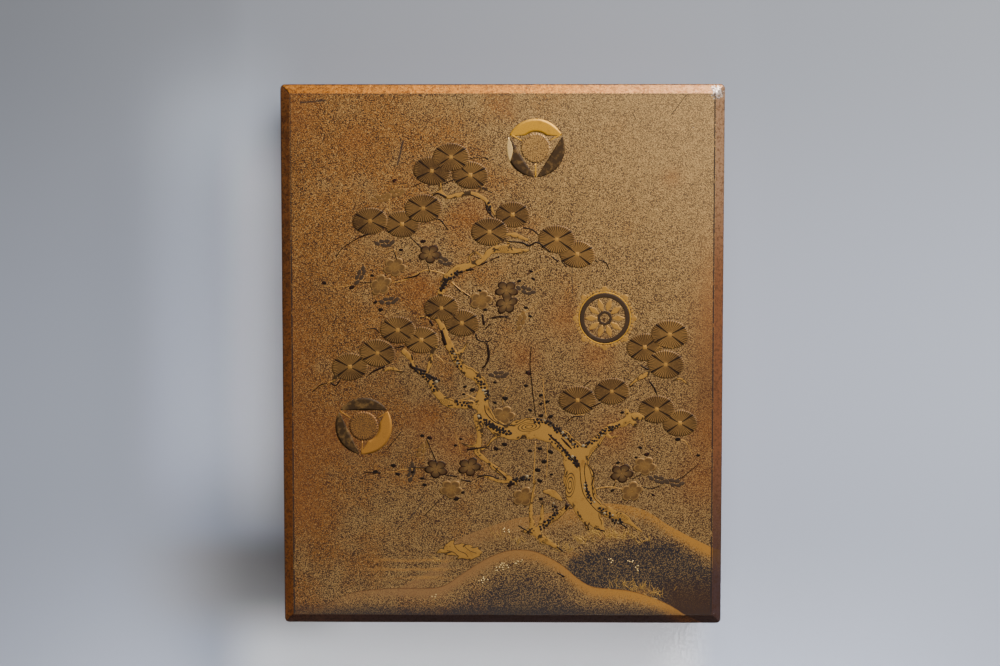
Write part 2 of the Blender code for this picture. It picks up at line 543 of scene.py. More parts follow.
# The far slope is painted lit, paler towards its right end as a painted highlight and browner towards its
# left end as painted shade, with red mottles
lit_tone = layers(
    EDGE_LIT,
    (fade(x, 0.015, 0.098), EDGE_PAINTED_HIGHLIGHT),
    (fade(x, -0.06, -0.01, 0.0, 0.18), EDGE_BROWN),
    (fade(noise(0.0016, 4.0, 0.7), 0.47, 0.60, 0.0, 0.85), LACQUER_RED),
)
edge_tone = layers(
    EDGE_BROWN,
    (fade(patchy, 0.40, 0.60), EDGE_GOLD),
    (fade(y, 0.060, -0.010, 0.0, 0.40), EDGE_WARM),
    (right_slope * 0.94, right_red_with_painted_light),
    # The near slope: darker lacquer deepened by painted shade
    (near_slope * fade(x, -0.10, -0.04, 0.75, 1.0), EDGE_DARK_AND_SHADE),
    (near_band, EDGE_BAND),
    (far_slope, lit_tone),
    (fade(noise(0.0012, 4.0, 0.75), 0.47, 0.60, 0.0, 0.75), LACQUER_BROWN),
)
rubbed = largest(side_slope * fade(on_top, 0, 1, 0.30, 0.85), far_slope * 0.66, near_slope * 0.80)

# Wear: a dark line inside the ridge, open mitres, a chip at one corner, and scratches
side_line = largest(fade(y, 0.056, 0.048, 0.60, 1.0), fade(x, -0.001, 0.001))
ridge_line = fade(past, -0.00090, -0.00068) * fade(past, -0.00002, -0.0002) * fade(patchy, 0.36, 0.46)
ridge_line = ridge_line * fade(corner_side, 0.0001, -0.0001, side_line, 0.30)
mitre_line = fade(calc("ABSOLUTE", corner_side), 0.00026, 0.00010) * chamfer * on_top
outer_line = fade(past, CHAMFER_WIDTH - 0.0007, CHAMFER_WIDTH - 0.0001) * fade(patchy, 0.42, 0.58, 0.0, 0.6)
outer_line = outer_line * fade(z, LID_TOP - 0.0045, LID_TOP - 0.0036)
worn = largest(ridge_line, mitre_line, outer_line, *(near_line(*scratch) for scratch in SCRATCHES))
corner = np.array([PANEL_HALF[0] + 0.0008, PANEL_HALF[1] + 0.0008, LID_TOP - 0.0006])
chip = fade(distance(place, corner), 0.0060, 0.0004) + noise(0.0014, 3.0, 0.7) * 2.2
chip_tone = layers(CHIP_DARK, (fade(noise(0.0009, 2.0), 0.42, 0.58), CHIP_PALE))
ground = layers(
    ground,
    (rubbed, edge_tone),
    (worn * 0.88, LACQUER_BLACK),
    (fade(chip, 1.55, 1.80, 0.0, 0.85), chip_tone),
)
polished(
    lid_finish,
    ground,
    fade(flake, 0, 1, 0.34, 0.48),
    grain=0.0012,
    detail=3.0,
    Metallic=largest(largest(flake, settled) * 0.4, far_slope * 0.95),
    Specular_IOR_Level=0.34,
    Coat_Weight=fade(far_slope, 0, 1, 0.06, 0.0),
    Coat_Roughness=0.32,
)
lid = new_piece("lid_shell", lid_points, lid_faces, lid_finish)
write_attributes(
    lid,
    below_back=below(BACK_HILL, lid_points),
    below_dark=below(DARK_HILL, lid_points),
    below_front=below(FRONT_HILL, lid_points),
    warm=0.55 * patches(WARM_PATCHES, lid_points) - 0.40 * patches(PALE_PATCHES, lid_points),
    dim=patches(DIM_PATCHES, lid_points),
    mound=patches(MOUNDS, lid_points),
)
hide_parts("lid")


# The base
# A shallow tray of thin wood that the lid slips over, lacquered and sprinkled like the lid but
# plain. Its floor is set above a low foot rim, and it stands empty.
base_low, base_high = (np.array(corner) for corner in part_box("base"))
BASE_HALF = (base_high - base_low)[:2] / 2
BASE_RIM = base_high[2]
BASE_CORNER = 0.0016
BASE_WALL = 0.0034
BASE_BOARD = 0.0040
FOOT_HEIGHT = 0.0010
FOOT_RIM = 0.0070
FLOOR_REACH = 0.030


def rounded(corners, radius):
    """A profile with each inner corner b cut by the curve (1-t)²·a + 2t(1-t)·b + t²·c.

    The points a and c lie the radius before and after the corner.
    """
    corners = np.asarray(corners, dtype=float)
    before, corner, after = corners[:-2], corners[1:-1], corners[2:]
    a = corner + radius * (before - corner) / np.linalg.norm(before - corner, axis=1)[:, None]
    c = corner + radius * (after - corner) / np.linalg.norm(after - corner, axis=1)[:, None]
    t = np.array([0, 0.3, 0.7, 1])[None, :, None]
    turned = (1 - t) ** 2 * a[:, None] + 2 * t * (1 - t) * corner[:, None] + t**2 * c[:, None]
    return np.concatenate([corners[:1], turned.reshape(-1, 2), corners[-1:]])


base_profile = rounded(
    [
        (FLOOR_REACH, FOOT_HEIGHT + BASE_BOARD),
        (BASE_WALL, FOOT_HEIGHT + BASE_BOARD),
        (BASE_WALL, BASE_RIM),
        (0, BASE_RIM),
        (0, 0),
        (FOOT_RIM, 0),
        (FOOT_RIM, FOOT_HEIGHT),
        (FLOOR_REACH, FOOT_HEIGHT),
    ],
    EDGE_ROUND,
)
base_section = [(inset, BASE_CORNER, height) for inset, height in base_profile]
base_grid = stations([0, 0.5, 1], 6), stations([0, 0.33, 0.66, 1], 6)
base_rings = outline_rings(BASE_HALF, base_section, base_grid)
rings = np.arange(base_rings[..., 0].size).reshape(base_rings.shape[:2])
base_faces = [rings[0], *ring_faces(rings), rings[-1][::-1]]

base_finish = new_finish("base lacquer")
density = fade(noise(0.006, 3.0), 0.3, 0.7, 0.55, 0.78)
ground, flake = sprinkled(density, fade(noise(BLOTCH_SIZE, 3.0), 0.4, 0.8), LACQUER_RED)
rubbed = fade(axes()[2], 0.0012, 0.0) * fade(noise(0.003, 3.0, 0.7), 0.45, 0.6)
polished(
    base_finish,
    layers(ground, (rubbed, LACQUER_BLACK)),
    fade(flake, 0, 1, 0.34, 0.48),
    grain=0.0012,
    detail=3.0,
    Metallic=flake * 0.4,
    Coat_Weight=0.1,
    Coat_Roughness=0.32,
)
base = new_piece("base_shell", base_rings.reshape(-1, 3), base_faces, base_finish)
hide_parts("base")


# The pine
# The tree is built up in relief with lacquer and charcoal under its gold, so its trunk and limbs
# stand a little proud of the lid. Round knots are drawn on it, and dark lines follow its edges.
TRUNK_STEP = 0.3
TRUNK_EDGE = 0.35
TRUNK_HEIGHT = 0.10
FIELD_MARGIN = 8
LIMB_STEP = 0.5
SUNK = 0.25
# Rows of (x, y, width) in millimetres, as in every table of strokes below
TRUNK = [
    (47, -82.5, 2), (44.6, -79.5, 5), (41.2, -75, 9.5), (38, -69, 12), (35.9, -62, 13), (35.6, -56.5, 12.6),
    (34.6, -50.5, 11), (34.5, -45.5, 8.5),
]
LIMBS = {
    "left": [
        (35, -48, 10), (30, -42.5, 9.5), (24, -38, 8.5), (17.5, -35.5, 9), (11.5, -35, 9), (6, -36.5, 7.5),
        (0, -36, 6.5), (-5, -32.5, 6.5), (-8.5, -27, 6.5), (-9.5, -20.5, 5.5), (-9, -15, 4.6),
        (-12.5, -10.5, 5), (-18, -7, 4.4), (-22, -1.5, 4.2), (-25, 4, 3.6), (-28, 12, 2.8),
        (-31, 16.5, 2.2),
    ],
    "low left": [
        (-9, -25.5, 4.5), (-14, -24, 4), (-25, -23, 4.4), (-30.5, -18.5, 3.6), (-34.5, -12, 2.6),
        (-38, -9, 2.2), (-41.5, -6, 1.7), (-43, -2, 2), (-46, 1.5, 1.6),
    ],
    "top left": [
        (-29, 28, 3), (-26.5, 34.5, 3.4), (-22, 39, 4), (-14.5, 41.5, 3.2), (-9, 44, 2.6), (-5.5, 48, 3.2),
        (0.5, 49, 3.8), (7, 48, 3), (12.5, 48.5, 1.4),
    ],
    "crown": [
        (-33, 74, 1.2), (-29, 75.5, 2), (-26, 73.3, 2.2), (-21, 74.2, 2.4), (-14.5, 75, 2.3),
        (-8.5, 72.5, 2.4), (-5.5, 68.5, 2.2), (-3.5, 65, 1.3),
    ],
    "crown stem": [(-28.5, 80.5, 1), (-29, 78.5, 1.7), (-28.5, 75, 1.7)],
    "crown knob": [(1.5, 56, 1.3), (6.5, 55.4, 2.6), (11.5, 53.3, 1.9)],
    "right": [
        (36, -48, 6.6), (41, -44, 5.6), (44.5, -40.5, 4.3), (48, -36.5, 3.4), (52, -34, 3.4),
        (57, -32, 3.7), (61.5, -29.3, 4), (65.5, -29.7, 2.4),
    ],
    "right knob": [(62, -33, 2.6), (59.5, -29.5, 3.4), (58, -26.5, 1.8)],
    "far right": [(59.5, -15, 1), (63, -12, 1.9), (67, -9.8, 2.5), (68.5, -8.5, 1.4)],
    "farthest": [(80, -12.5, 0.8), (83.5, -11.6, 1.6), (87, -14.7, 0.8)],
    "low": [
        (-12, -29.5, 4), (-10.5, -36.5, 3.2), (-11, -42.5, 2.6), (-12, -46, 3), (-7.5, -50, 2.2),
        (-3.3, -53.7, 2.4), (3.4, -58.6, 2.6), (7, -61.7, 1.2),
    ],
    "lowest": [(-12, -57.2, 0.7), (-7.7, -57.4, 1.3), (-2.4, -59.5, 1.8), (3.4, -60, 1.6), (10, -59, 0.8)],
    "crossing": [(-12, -45.6, 2), (-7.7, -43.8, 1.3), (-4.6, -40.2, 1.5), (-1.5, -38.4, 1.6)],
    "plum": [(14.5, -83.5, 3.2), (13.2, -74.3, 1.9), (14, -67, 1.4), (15.4, -59.5, 1)],
    "plum shoot": [(16.5, -83.2, 2), (18.4, -77, 1.9), (18.8, -69.8, 1.3)],
    "plum arm": [(20.5, -80, 2.4), (25.4, -76, 3), (30, -72, 2.6)],
    "plum crook": [(19.6, -64.4, 2), (23.6, -65.3, 3.4), (27.6, -68.4, 2)],
    "crown twig": [(-12, 74.5, 1.0), (-9, 77.5, 0.9), (-4.5, 76, 0.5)],
    "top curl": [(-14, 42, 1.6), (-15.5, 45, 1.2), (-12.5, 47.5, 1.2), (-9.5, 45.5, 1.2)],
    "top curl two": [(-3, 48.5, 1.4), (-2.5, 52, 1.1), (1, 53.5, 1.0), (3.5, 51, 1.1)],
    "left spur": [(-22, -1.5, 2.2), (-18.5, 1.5, 1.6), (-16.5, 5, 0.9)],
    "low spur": [(-11, -42.5, 1.6), (-15, -43.5, 1.3), (-19, -42, 0.7)],
    "fork spur": [(3, -36, 2.2), (5.5, -32, 1.5), (9, -31, 0.8)],
    "right spur": [(48, -36.5, 1.8), (50.5, -39, 1.3), (54, -38.5, 0.7)],
    "left root": [
        (9, -83.2, 0.9), (14.6, -83.4, 3.6), (18.2, -86.4, 3), (22.7, -89, 2.6), (27, -91.7, 0.9),
    ],
    "middle root": [(38, -72, 6), (38.6, -77.5, 3.2), (40, -82.5, 0.8)],
    "right root": [
        (42, -69, 5), (47, -73, 4.6), (52, -75, 4.6), (56.5, -76.6, 4.2), (60.5, -79.6, 2.4),
        (65, -83.2, 0.9),
    ],
    "fan stem one": [(-78, -10.5, 2), (-79.5, -14, 1.2)],
    "fan stem two": [(-55.5, -8, 1.4), (-51.6, -7, 2.1), (-47, -9, 1)],
    "fan stem three": [(-36, -10.7, 1.5), (-33.8, -4.4, 1.9), (-32.8, 1, 1.7), (-30, 3.6, 1)],
    "fan stem four": [(-46.5, 1, 2.5), (-42.5, -2.4, 2.2)],
    "rock": [
        (-31, -93.4, 0.8), (-28.6, -92.4, 2.2), (-27, -92.8, 1.5), (-24.8, -90.8, 4.6), (-22.4, -91.8, 3.0),
        (-20.4, -91.6, 4.8), (-18.2, -92.8, 3.2), (-16, -91.8, 4.6), (-14, -93.4, 3.0), (-12, -92.8, 3.6),
        (-9.8, -93.2, 0.8),
    ],
    "low rock": [
        (-27, -94, 0.7), (-21, -93.8, 2.4), (-17.5, -94.8, 3.0), (-13.2, -94.6, 2.6), (-10.4, -94.4, 0.9),
    ],
    "rock spur": [(-26.4, -91, 2.2), (-24.4, -89.2, 2.8), (-22.4, -87.2, 0.8)],
    "rock shoulder": [(-21.4, -91, 2.2), (-19, -89.6, 2.0), (-17.4, -89.4, 0.8)],
    "rock end": [(-14.6, -93, 2.6), (-12.2, -91.4, 2.0), (-11.2, -90.6, 0.7)],
    "rock foot": [(-19, -95, 2.2), (-21.8, -96.4, 0.6)],
    "rock toe": [(-13.2, -95, 2.2), (-15.4, -96.8, 0.6)],
}
# Each knot's x, y, half sizes and turn in degrees
KNOTS = [
    (12.5, -34.2, 5.2, 2.2, 8), (31.6, -61.5, 2.3, 5.6, -6), (42.5, -45.5, 1.3, 2.6, -35),
    (56.3, -76.5, 2.6, 1.1, -20), (25.5, -76.3, 2.6, 1, 42), (0.5, 49, 2.1, 1.5, 0),
    (-21.5, 39, 1.8, 0.9, 40), (-27, -22.6, 2.4, 1, -10),
]


def left_of(path):
    """The direction to the left of a path, at each of its points."""
    ahead = np.gradient(path[:, :2], axis=0)
    ahead /= np.linalg.norm(ahead, axis=1, keepdims=True)
    return np.stack([-ahead[:, 1], ahead[:, 0]], axis=-1)


def gnarled(limb, number):
    """A limb as a smooth curve of (x, y, width) whose width swells and shrinks along it.

    It grows by the share 0.09·sin(0.75·s + n) + 0.07·sin(1.9·s + 2.3·n) of itself, where s is the
    run along the limb in millimetres and n the limb's number.
    """
    path = smooth_curve(limb, LIMB_STEP)
    run = np.arange(len(path)) * LIMB_STEP
    swell = 0.09 * np.sin(0.75 * run + number) + 0.07 * np.sin(1.9 * run + 2.3 * number)
    path[:, 2] *= 1 + swell
    return path


def closed_below(points, faces, depth):
    """A thin sheet made solid: the same sheet again at the depth, facing down, and a wall between.

    The wall stands on the sheet's open edges, which are those that only one face uses.
    """
    count = len(points)
    under = points.copy()
    under[:, 2] = depth
    edges = np.stack([faces, np.roll(faces, -1, axis=1)], axis=-1).reshape(-1, 2)
    shared = np.isin(edges[:, 0] * count + edges[:, 1], edges[:, 1] * count + edges[:, 0])
    start, end = edges[~shared].T
    wall = np.stack([end, start, start + count, end + count], axis=-1)
    return np.concatenate([points, under]), np.concatenate([faces, faces[:, ::-1] + count, wall])


limb_paths = [gnarled(limb, number) for number, limb in enumerate(LIMBS.values())]
limb_paths.append(gnarled(TRUNK, 5))
every_limb = np.concatenate(limb_paths)[:, :2]
field_low = every_limb.min(axis=0) - FIELD_MARGIN
field_high = every_limb.max(axis=0) + FIELD_MARGIN
field_lines = [np.arange(low, high, TRUNK_STEP) for low, high in zip(field_low, field_high)]
field_x, field_y = np.meshgrid(*field_lines, indexing="ij")
inside = np.full(field_x.shape, -1.0)
sideways = np.zeros(field_x.shape)
for path in limb_paths:
    for (disc_x, disc_y, width), left in zip(path, left_of(path)):
        # Each point of a limb presses a disc into the field, which keeps the greatest depth inside.
        reach = width / 2 + 1
        first = ((disc_x - reach, disc_y - reach) - field_low) / TRUNK_STEP
        last = ((disc_x + reach, disc_y + reach) - field_low) / TRUNK_STEP
        part = tuple(slice(int(low), int(high) + 2) for low, high in zip(first, last))
        off_x, off_y = field_x[part] - disc_x, field_y[part] - disc_y
        depth = width / 2 - np.hypot(off_x, off_y)
        deeper = depth > inside[part]
        inside[part][deeper] = depth[deeper]
        sideways[part][deeper] = (off_x * left[0] + off_y * left[1])[deeper]


def eased(field):
    """Each crossing gets half its own value and an eighth of each neighbour's: it rounds the forks."""
    padded = np.pad(field, 1, mode="edge")
    around = padded[:-2, 1:-1] + padded[2:, 1:-1] + padded[1:-1, :-2] + padded[1:-1, 2:]
    return (4 * field + around) / 8


inside = eased(eased(inside))
knot = np.full(field_x.shape, 9.0)
for knot_x, knot_y, half_length, half_width, turn in KNOTS:
    lean = math.radians(turn)
    u = (field_x - knot_x) * math.cos(lean) + (field_y - knot_y) * math.sin(lean)
    v = (field_y - knot_y) * math.cos(lean) - (field_x - knot_x) * math.sin(lean)
    knot = np.minimum(knot, np.hypot(u / half_length, v / half_width))
swelling = 0.02 * np.cos(3 * math.pi * np.minimum(knot, 1)) * (knot < 1)
height = TRUNK_HEIGHT * np.tanh(np.maximum(inside, 0) / 0.8) + swelling * (inside > 0.6)
height = np.where(inside < 0, 0.7 * inside, height + 0.02)
cells = grid_faces(*field_x.shape)
cells = cells[(inside.reshape(-1)[cells] > -TRUNK_EDGE).any(axis=1)]
kept, cells = np.unique(cells, return_inverse=True)
trunk_points = np.stack([part.reshape(-1)[kept] for part in (field_x, field_y, height)], axis=-1)
trunk_points[:, 2] = np.maximum(trunk_points[:, 2], -SUNK)
trunk_points, trunk_faces = closed_below(trunk_points, cells.reshape(-1, 4), -SUNK - 0.1)

PICTURE_GOLD = (0.415, 0.213, 0.043)
GOLD_RUBBED = (0.22, 0.098, 0.018)
PICTURE_DARK = (0.014, 0.007, 0.004)


def bark_lines():
    """The trunk's drawing: rings round the knots, lines along its edges, and dark patches of bark."""
    rings, depth = attribute("knot"), attribute("inside")
    ring_lines = fade(calc("COSINE", rings * (6 * math.pi)), 0.35, 0.75) * fade(rings, 1.08, 1.02)
    ring_lines = ring_lines * fade(rings, 0.15, 0.3)
    edge_lines = fade(depth, 0.75, 0.95) * fade(depth, 1.35, 1.1) * fade(attribute("side"), -0.6, -1.4)
    edge_lines = edge_lines * fade(noise(0.012, 1.0), 0.44, 0.50) * fade(rings, 1.1, 1.3)
    outline = fade(depth, 0.42, 0.20) * fade(noise(0.007), 0.38, 0.46)
    bark = fade(noise(0.0026, 3.0, 0.6), 0.54, 0.58) * fade(depth, 2.0, 1.3)
    bark = bark * fade(noise(0.012, 1.0), 0.40, 0.48) * fade(rings, 1.0, 1.2)
    return largest(ring_lines, edge_lines, outline, bark) * 0.9


def gold_finish(name, gold=PICTURE_GOLD, dark_lines=None):
    """Fine gold powder under clear lacquer: dull gold, rubbed brown in places, with dark lines."""
    material = new_finish(name)
    rubbed = fade(noise(0.005, 4.0, 0.65), 0.50, 0.72, 0.0, 0.75)
    powder = fade(noise(0.00035, 1.0), 0.3, 0.7, 0.0, 0.35)
    colour = layers(gold, (largest(rubbed, powder), GOLD_RUBBED))
    if dark_lines:
        colour = layers(colour, (dark_lines(), PICTURE_DARK))
    gloss = {"Metallic": 0.55, "Coat_Weight": 0.05, "Coat_Roughness": 0.4}
    powdery = {"grain": 0.0008, "detail": 3.0, "depth": 0.00003}
    return polished(material, colour, fade(powder, 0, 0.35, 0.50, 0.62), **powdery, **gloss)


def picture_piece(name, points, faces, finish):
    """A piece of the picture, drawn in millimetres and laid on the lid."""
    return new_piece(name, on_lid(points), faces, finish)


trunk_gold = gold_finish("trunk gold", dark_lines=bark_lines)
trunk = picture_piece("pine_trunk", trunk_points, trunk_faces, trunk_gold)
fields = {"inside": inside, "side": sideways, "knot": knot}
write_attributes(trunk, **{name: np.tile(field.reshape(-1)[kept], 2) for name, field in fields.items()})


# The needle fans
# Each fan is a round tuft of pine needles seen from above: fine raised gold lines that spread from
# a small gold heart, parted into four by dark gaps. The fans overlap along the branches.
NEEDLES = 44
FAN_RINGS = 9
FAN_HEIGHT = 0.035
FAN_HALF = (8.6, 6.5)
GAP_ANGLES = np.radians([38, 142, 218, 322])
HEART_HALF = 1.2
NEEDLE_GOLD = (0.262, 0.134, 0.036)
NEEDLE_PALE = (0.40, 0.215, 0.060)
NEEDLE_DARK = (0.090, 0.043, 0.014)
FANS = [
    (-15, 83.5), (-33, 85.5), (-24, 92), (-47, 60.5), (-62, 62), (-37, 68), (4.8, 65), (-6, 57),
    (25.5, 53.5), (35, 46.5), (-19, 14.3), (-28.5, 21.3), (-38, 6.3), (-49, 11), (-58.5, 0.2),
    (-71.5, -6.3), (78.3, 9), (76.4, -5), (66.6, 3), (35.2, -21.8), (51.2, -17.6), (83, -32.5), (72.2, -26),
]
rng = np.random.default_rng(7)


def circle(steps):
    """Angles once round, in even steps."""
    return np.arange(steps) * 2 * math.pi / steps


def medallions(name, places, outline, shares, rise, finish):
    """One piece of low round shapes, each drawn from its middle out to its outline.

    places holds x, y, half length, half width and turn for each, and the height its middle has.
    A point at share u of the way out, in direction a, lies at u · outline(a) of the half sizes,
    and rise(u, a) of the height up. The last ring goes down into the lacquer, and a face closes it.
    Returns the piece, and each point's share and direction.
    """
    places = np.asarray(places, dtype=float)
    sectors, rows = len(outline), len(shares)
    u, a = np.meshgrid([*shares, 1.0], circle(sectors), indexing="ij")
    far, u, a = (np.append(0.0, grid) for grid in (u * outline, u, a))
    x, y, half_x, half_y, turn, height = places.T[:, :, None]
    across, along = far * np.cos(a) * half_x, far * np.sin(a) * half_y
    above = np.arange(len(u)) <= rows * sectors
    points = np.stack(
        [
            x + across * np.cos(turn) - along * np.sin(turn),
            y + across * np.sin(turn) + along * np.cos(turn),
            np.where(above, rise(u, a) * height, -SUNK),
        ],
        axis=-1,
    )
    rings = 1 + np.arange((rows + 1) * sectors).reshape(rows + 1, sectors)
    hub = np.stack([np.zeros(sectors, int), rings[0], np.roll(rings[0], -1)], axis=-1)
    walls = ring_faces(rings)
    faces = []
    for start in np.arange(len(places)) * len(u):
        faces += [*(hub + start), *(walls + start), rings[-1][::-1] + start]
    piece = picture_piece(name, points.reshape(-1, 3), faces, finish)
    return piece, np.tile(u, len(places)), np.tile(a, len(places))


def needles(a):
    """How high the needles stand round a fan: |cos(22a)|."""
    return np.abs(np.cos(NEEDLES / 2 * a))


def needle_rise(u, a):
    """Needles as ridges that grow towards the rim: (1 - u⁴/3) · (1 - u · (1 - |cos(22a)|) / 2)."""
    return (1 - u**4 / 3) * (1 - u * (1 - needles(a)) / 2)


def domed(u, a):
    """A low dome: 1 - 0.8·u²."""
    return 1 - 0.8 * u**2


fan_finish = new_finish("needle gold")
x, y, _ = axes()
out, parting = attribute("out"), attribute("parting")
between = fade(attribute("needle"), 0.88, 0.50) * fade(out, 0.66, 0.84, 0.74, 0.84) * fade(out, 0.08, 0.3)
parted = fade(parting / fade(out, 0.10, 1.0, 0.24, 0.58), 1.10, 0.85) * fade(out, 0.10, 0.18)
older = fade(x, 0.010, -0.030) * fade(y, 0.030, 0.060, 0.05, 0.28)
glint = fade(noise(0.0005, 1.0), 0.5, 0.8, 0.0, 0.4)
colour = layers(
    NEEDLE_GOLD,
    (held(fade(noise(0.014, 3.0), 0.35, 0.7, 0.0, 0.7) + older), NEEDLE_DARK),
    (glint, NEEDLE_PALE),
    (fade(out, 0.90, 0.99, 0.0, 0.5), NEEDLE_DARK),
    (largest(between, parted), PICTURE_DARK),
)
polished(fan_finish, colour, fade(glint, 0, 0.4, 0.45, 0.56), Metallic=0.35, Specular_IOR_Level=0.3)

fan_sizes = rng.uniform(0.96, 1.06, len(FANS))
fan_turns = rng.uniform(-0.12, 0.12, len(FANS))
fan_places = [
    (x, y, FAN_HALF[0] * size, FAN_HALF[1] * size, turn, FAN_HEIGHT * (1 + 0.4 * (number % 3)))
    for number, ((x, y), size, turn) in enumerate(zip(FANS, fan_sizes, fan_turns))
]
fan_outline = 0.93 + 0.07 * needles(circle(4 * NEEDLES))
fans, u, a = medallions(
    "needle_fans", fan_places, fan_outline, np.linspace(0.08, 1.0, FAN_RINGS), needle_rise, fan_finish
)
gap = np.abs((a[:, None] - GAP_ANGLES + math.pi) % (2 * math.pi) - math.pi).min(axis=1)
write_attributes(fans, out=u, needle=needles(a), parting=gap * u * FAN_HALF[0])

plain_gold = gold_finish("picture gold")
hearts = [(x, y, HEART_HALF, HEART_HALF, turn + math.pi / 4, 0.12) for x, y, _, _, turn, _ in fan_places]
heart_outline = 0.58 + 0.42 * np.abs(np.cos(2 * circle(32)))
medallions("fan_hearts", hearts, heart_outline, [0.4, 0.75, 1], domed, plain_gold)


# The twigs
# Thin branches, needles and shoots are drawn with a fine brush in gold, and the dark strokes that
# shade the limbs in blackened lacquer. Each stroke swells and tapers, and stands up a hair.
GOLD_TWIGS = [
    [(-84, 31.5, 0.3), (-77, 31, 0.3), (-71, 32, 0.5)],
    [(-55.5, 46.5, 0.3), (-50.5, 48.5, 0.4), (-49.5, 45, 0.3)],
    [(-52, 33, 0.5), (-45.5, 34.5, 0.8), (-39.5, 37.5, 0.9),
     (-35.5, 39, 0.8), (-29.5, 38, 0.8), (-25, 36, 1.2)],
    [(-24, 33.5, 1), (-20.5, 30.5, 0.8), (-14.5, 26.5, 0.4)],
    [(-31, 15.5, 0.7), (-38, 17.5, 0.5), (-39, 15.5, 0.3)],
    [(-55.5, 79, 0.3), (-50.5, 78.5, 0.2), (-44.5, 79, 0.3)], [(-53, 72.5, 0.3), (-53, 66.5, 0.5)],
    [(6.5, 17.5, 0.3), (12, 20, 0.4), (17, 24, 0.2)], [(14, 37.5, 0.3), (20, 40, 0.6)],
    [(-89, -17, 0.3), (-82, -14, 0.6), (-79.5, -13, 0.9)], [(-51.5, -7, 0.6), (-46, -8.5, 0.3)],
    [(-32, 0, 0.4), (-29.5, -2, 0.5), (-27, -4.5, 0.2)],
    [(-19, -18, 0.4), (-14, -20.5, 0.7), (-10.5, -22, 0.8)],
    [(-20.5, -22, 0.5), (-16, -20.5, 0.5), (-12, -18, 0.4)],
    [(0.2, -24.3, 0.5), (0.5, -19.5, 0.4), (3, -15, 0.3)],
    [(-47, -54.5, 0.3), (-42, -54, 0.6), (-34.5, -53.5, 0.4)],
    [(-55, -55.5, 0.2), (-50.5, -55.5, 0.4), (-46, -54, 0.4)],
    [(-37.5, -40, 0.2), (-36.5, -44.5, 0.3), (-37.5, -51, 0.2)],
    [(-22.5, -36, 0.2), (-20.5, -42, 0.4), (-19.5, -47.5, 0.3)],
    [(19, -11.5, 0.4), (19.5, -20.5, 0.6), (20.5, -30, 0.6)],
    [(15.5, -41, 0.5), (15, -51, 0.7), (14.5, -61, 0.9)],
    [(21, -42, 0.4), (21, -51, 0.5), (20.5, -58, 0.4)],
    [(31, -31.5, 0.4), (34.5, -29, 0.6), (38.5, -28.5, 0.3)],
    [(43, -63.5, 0.6), (48, -62.5, 0.8), (52.5, -62.5, 0.5), (56.5, -63.5, 0.3)],
    [(65.5, -36.5, 0.2), (67, -44, 0.3)], [(80.5, -40, 0.4), (85.5, -41, 0.5), (89, -47.5, 0.3)],
    [(80, 2.5, 0.8), (75, 4, 0.9), (71, 1, 0.6)],
    [(42.5, -53, 0.4), (40.5, -56.5, 0.5), (43, -64.5, 0.5), (48, -70.5, 0.4)],
    [(56, -48.5, 0.2), (56.5, -52, 0.3)], [(51.5, -64.5, 0.4), (53, -60, 0.4), (51.5, -56.5, 0.3)],
]
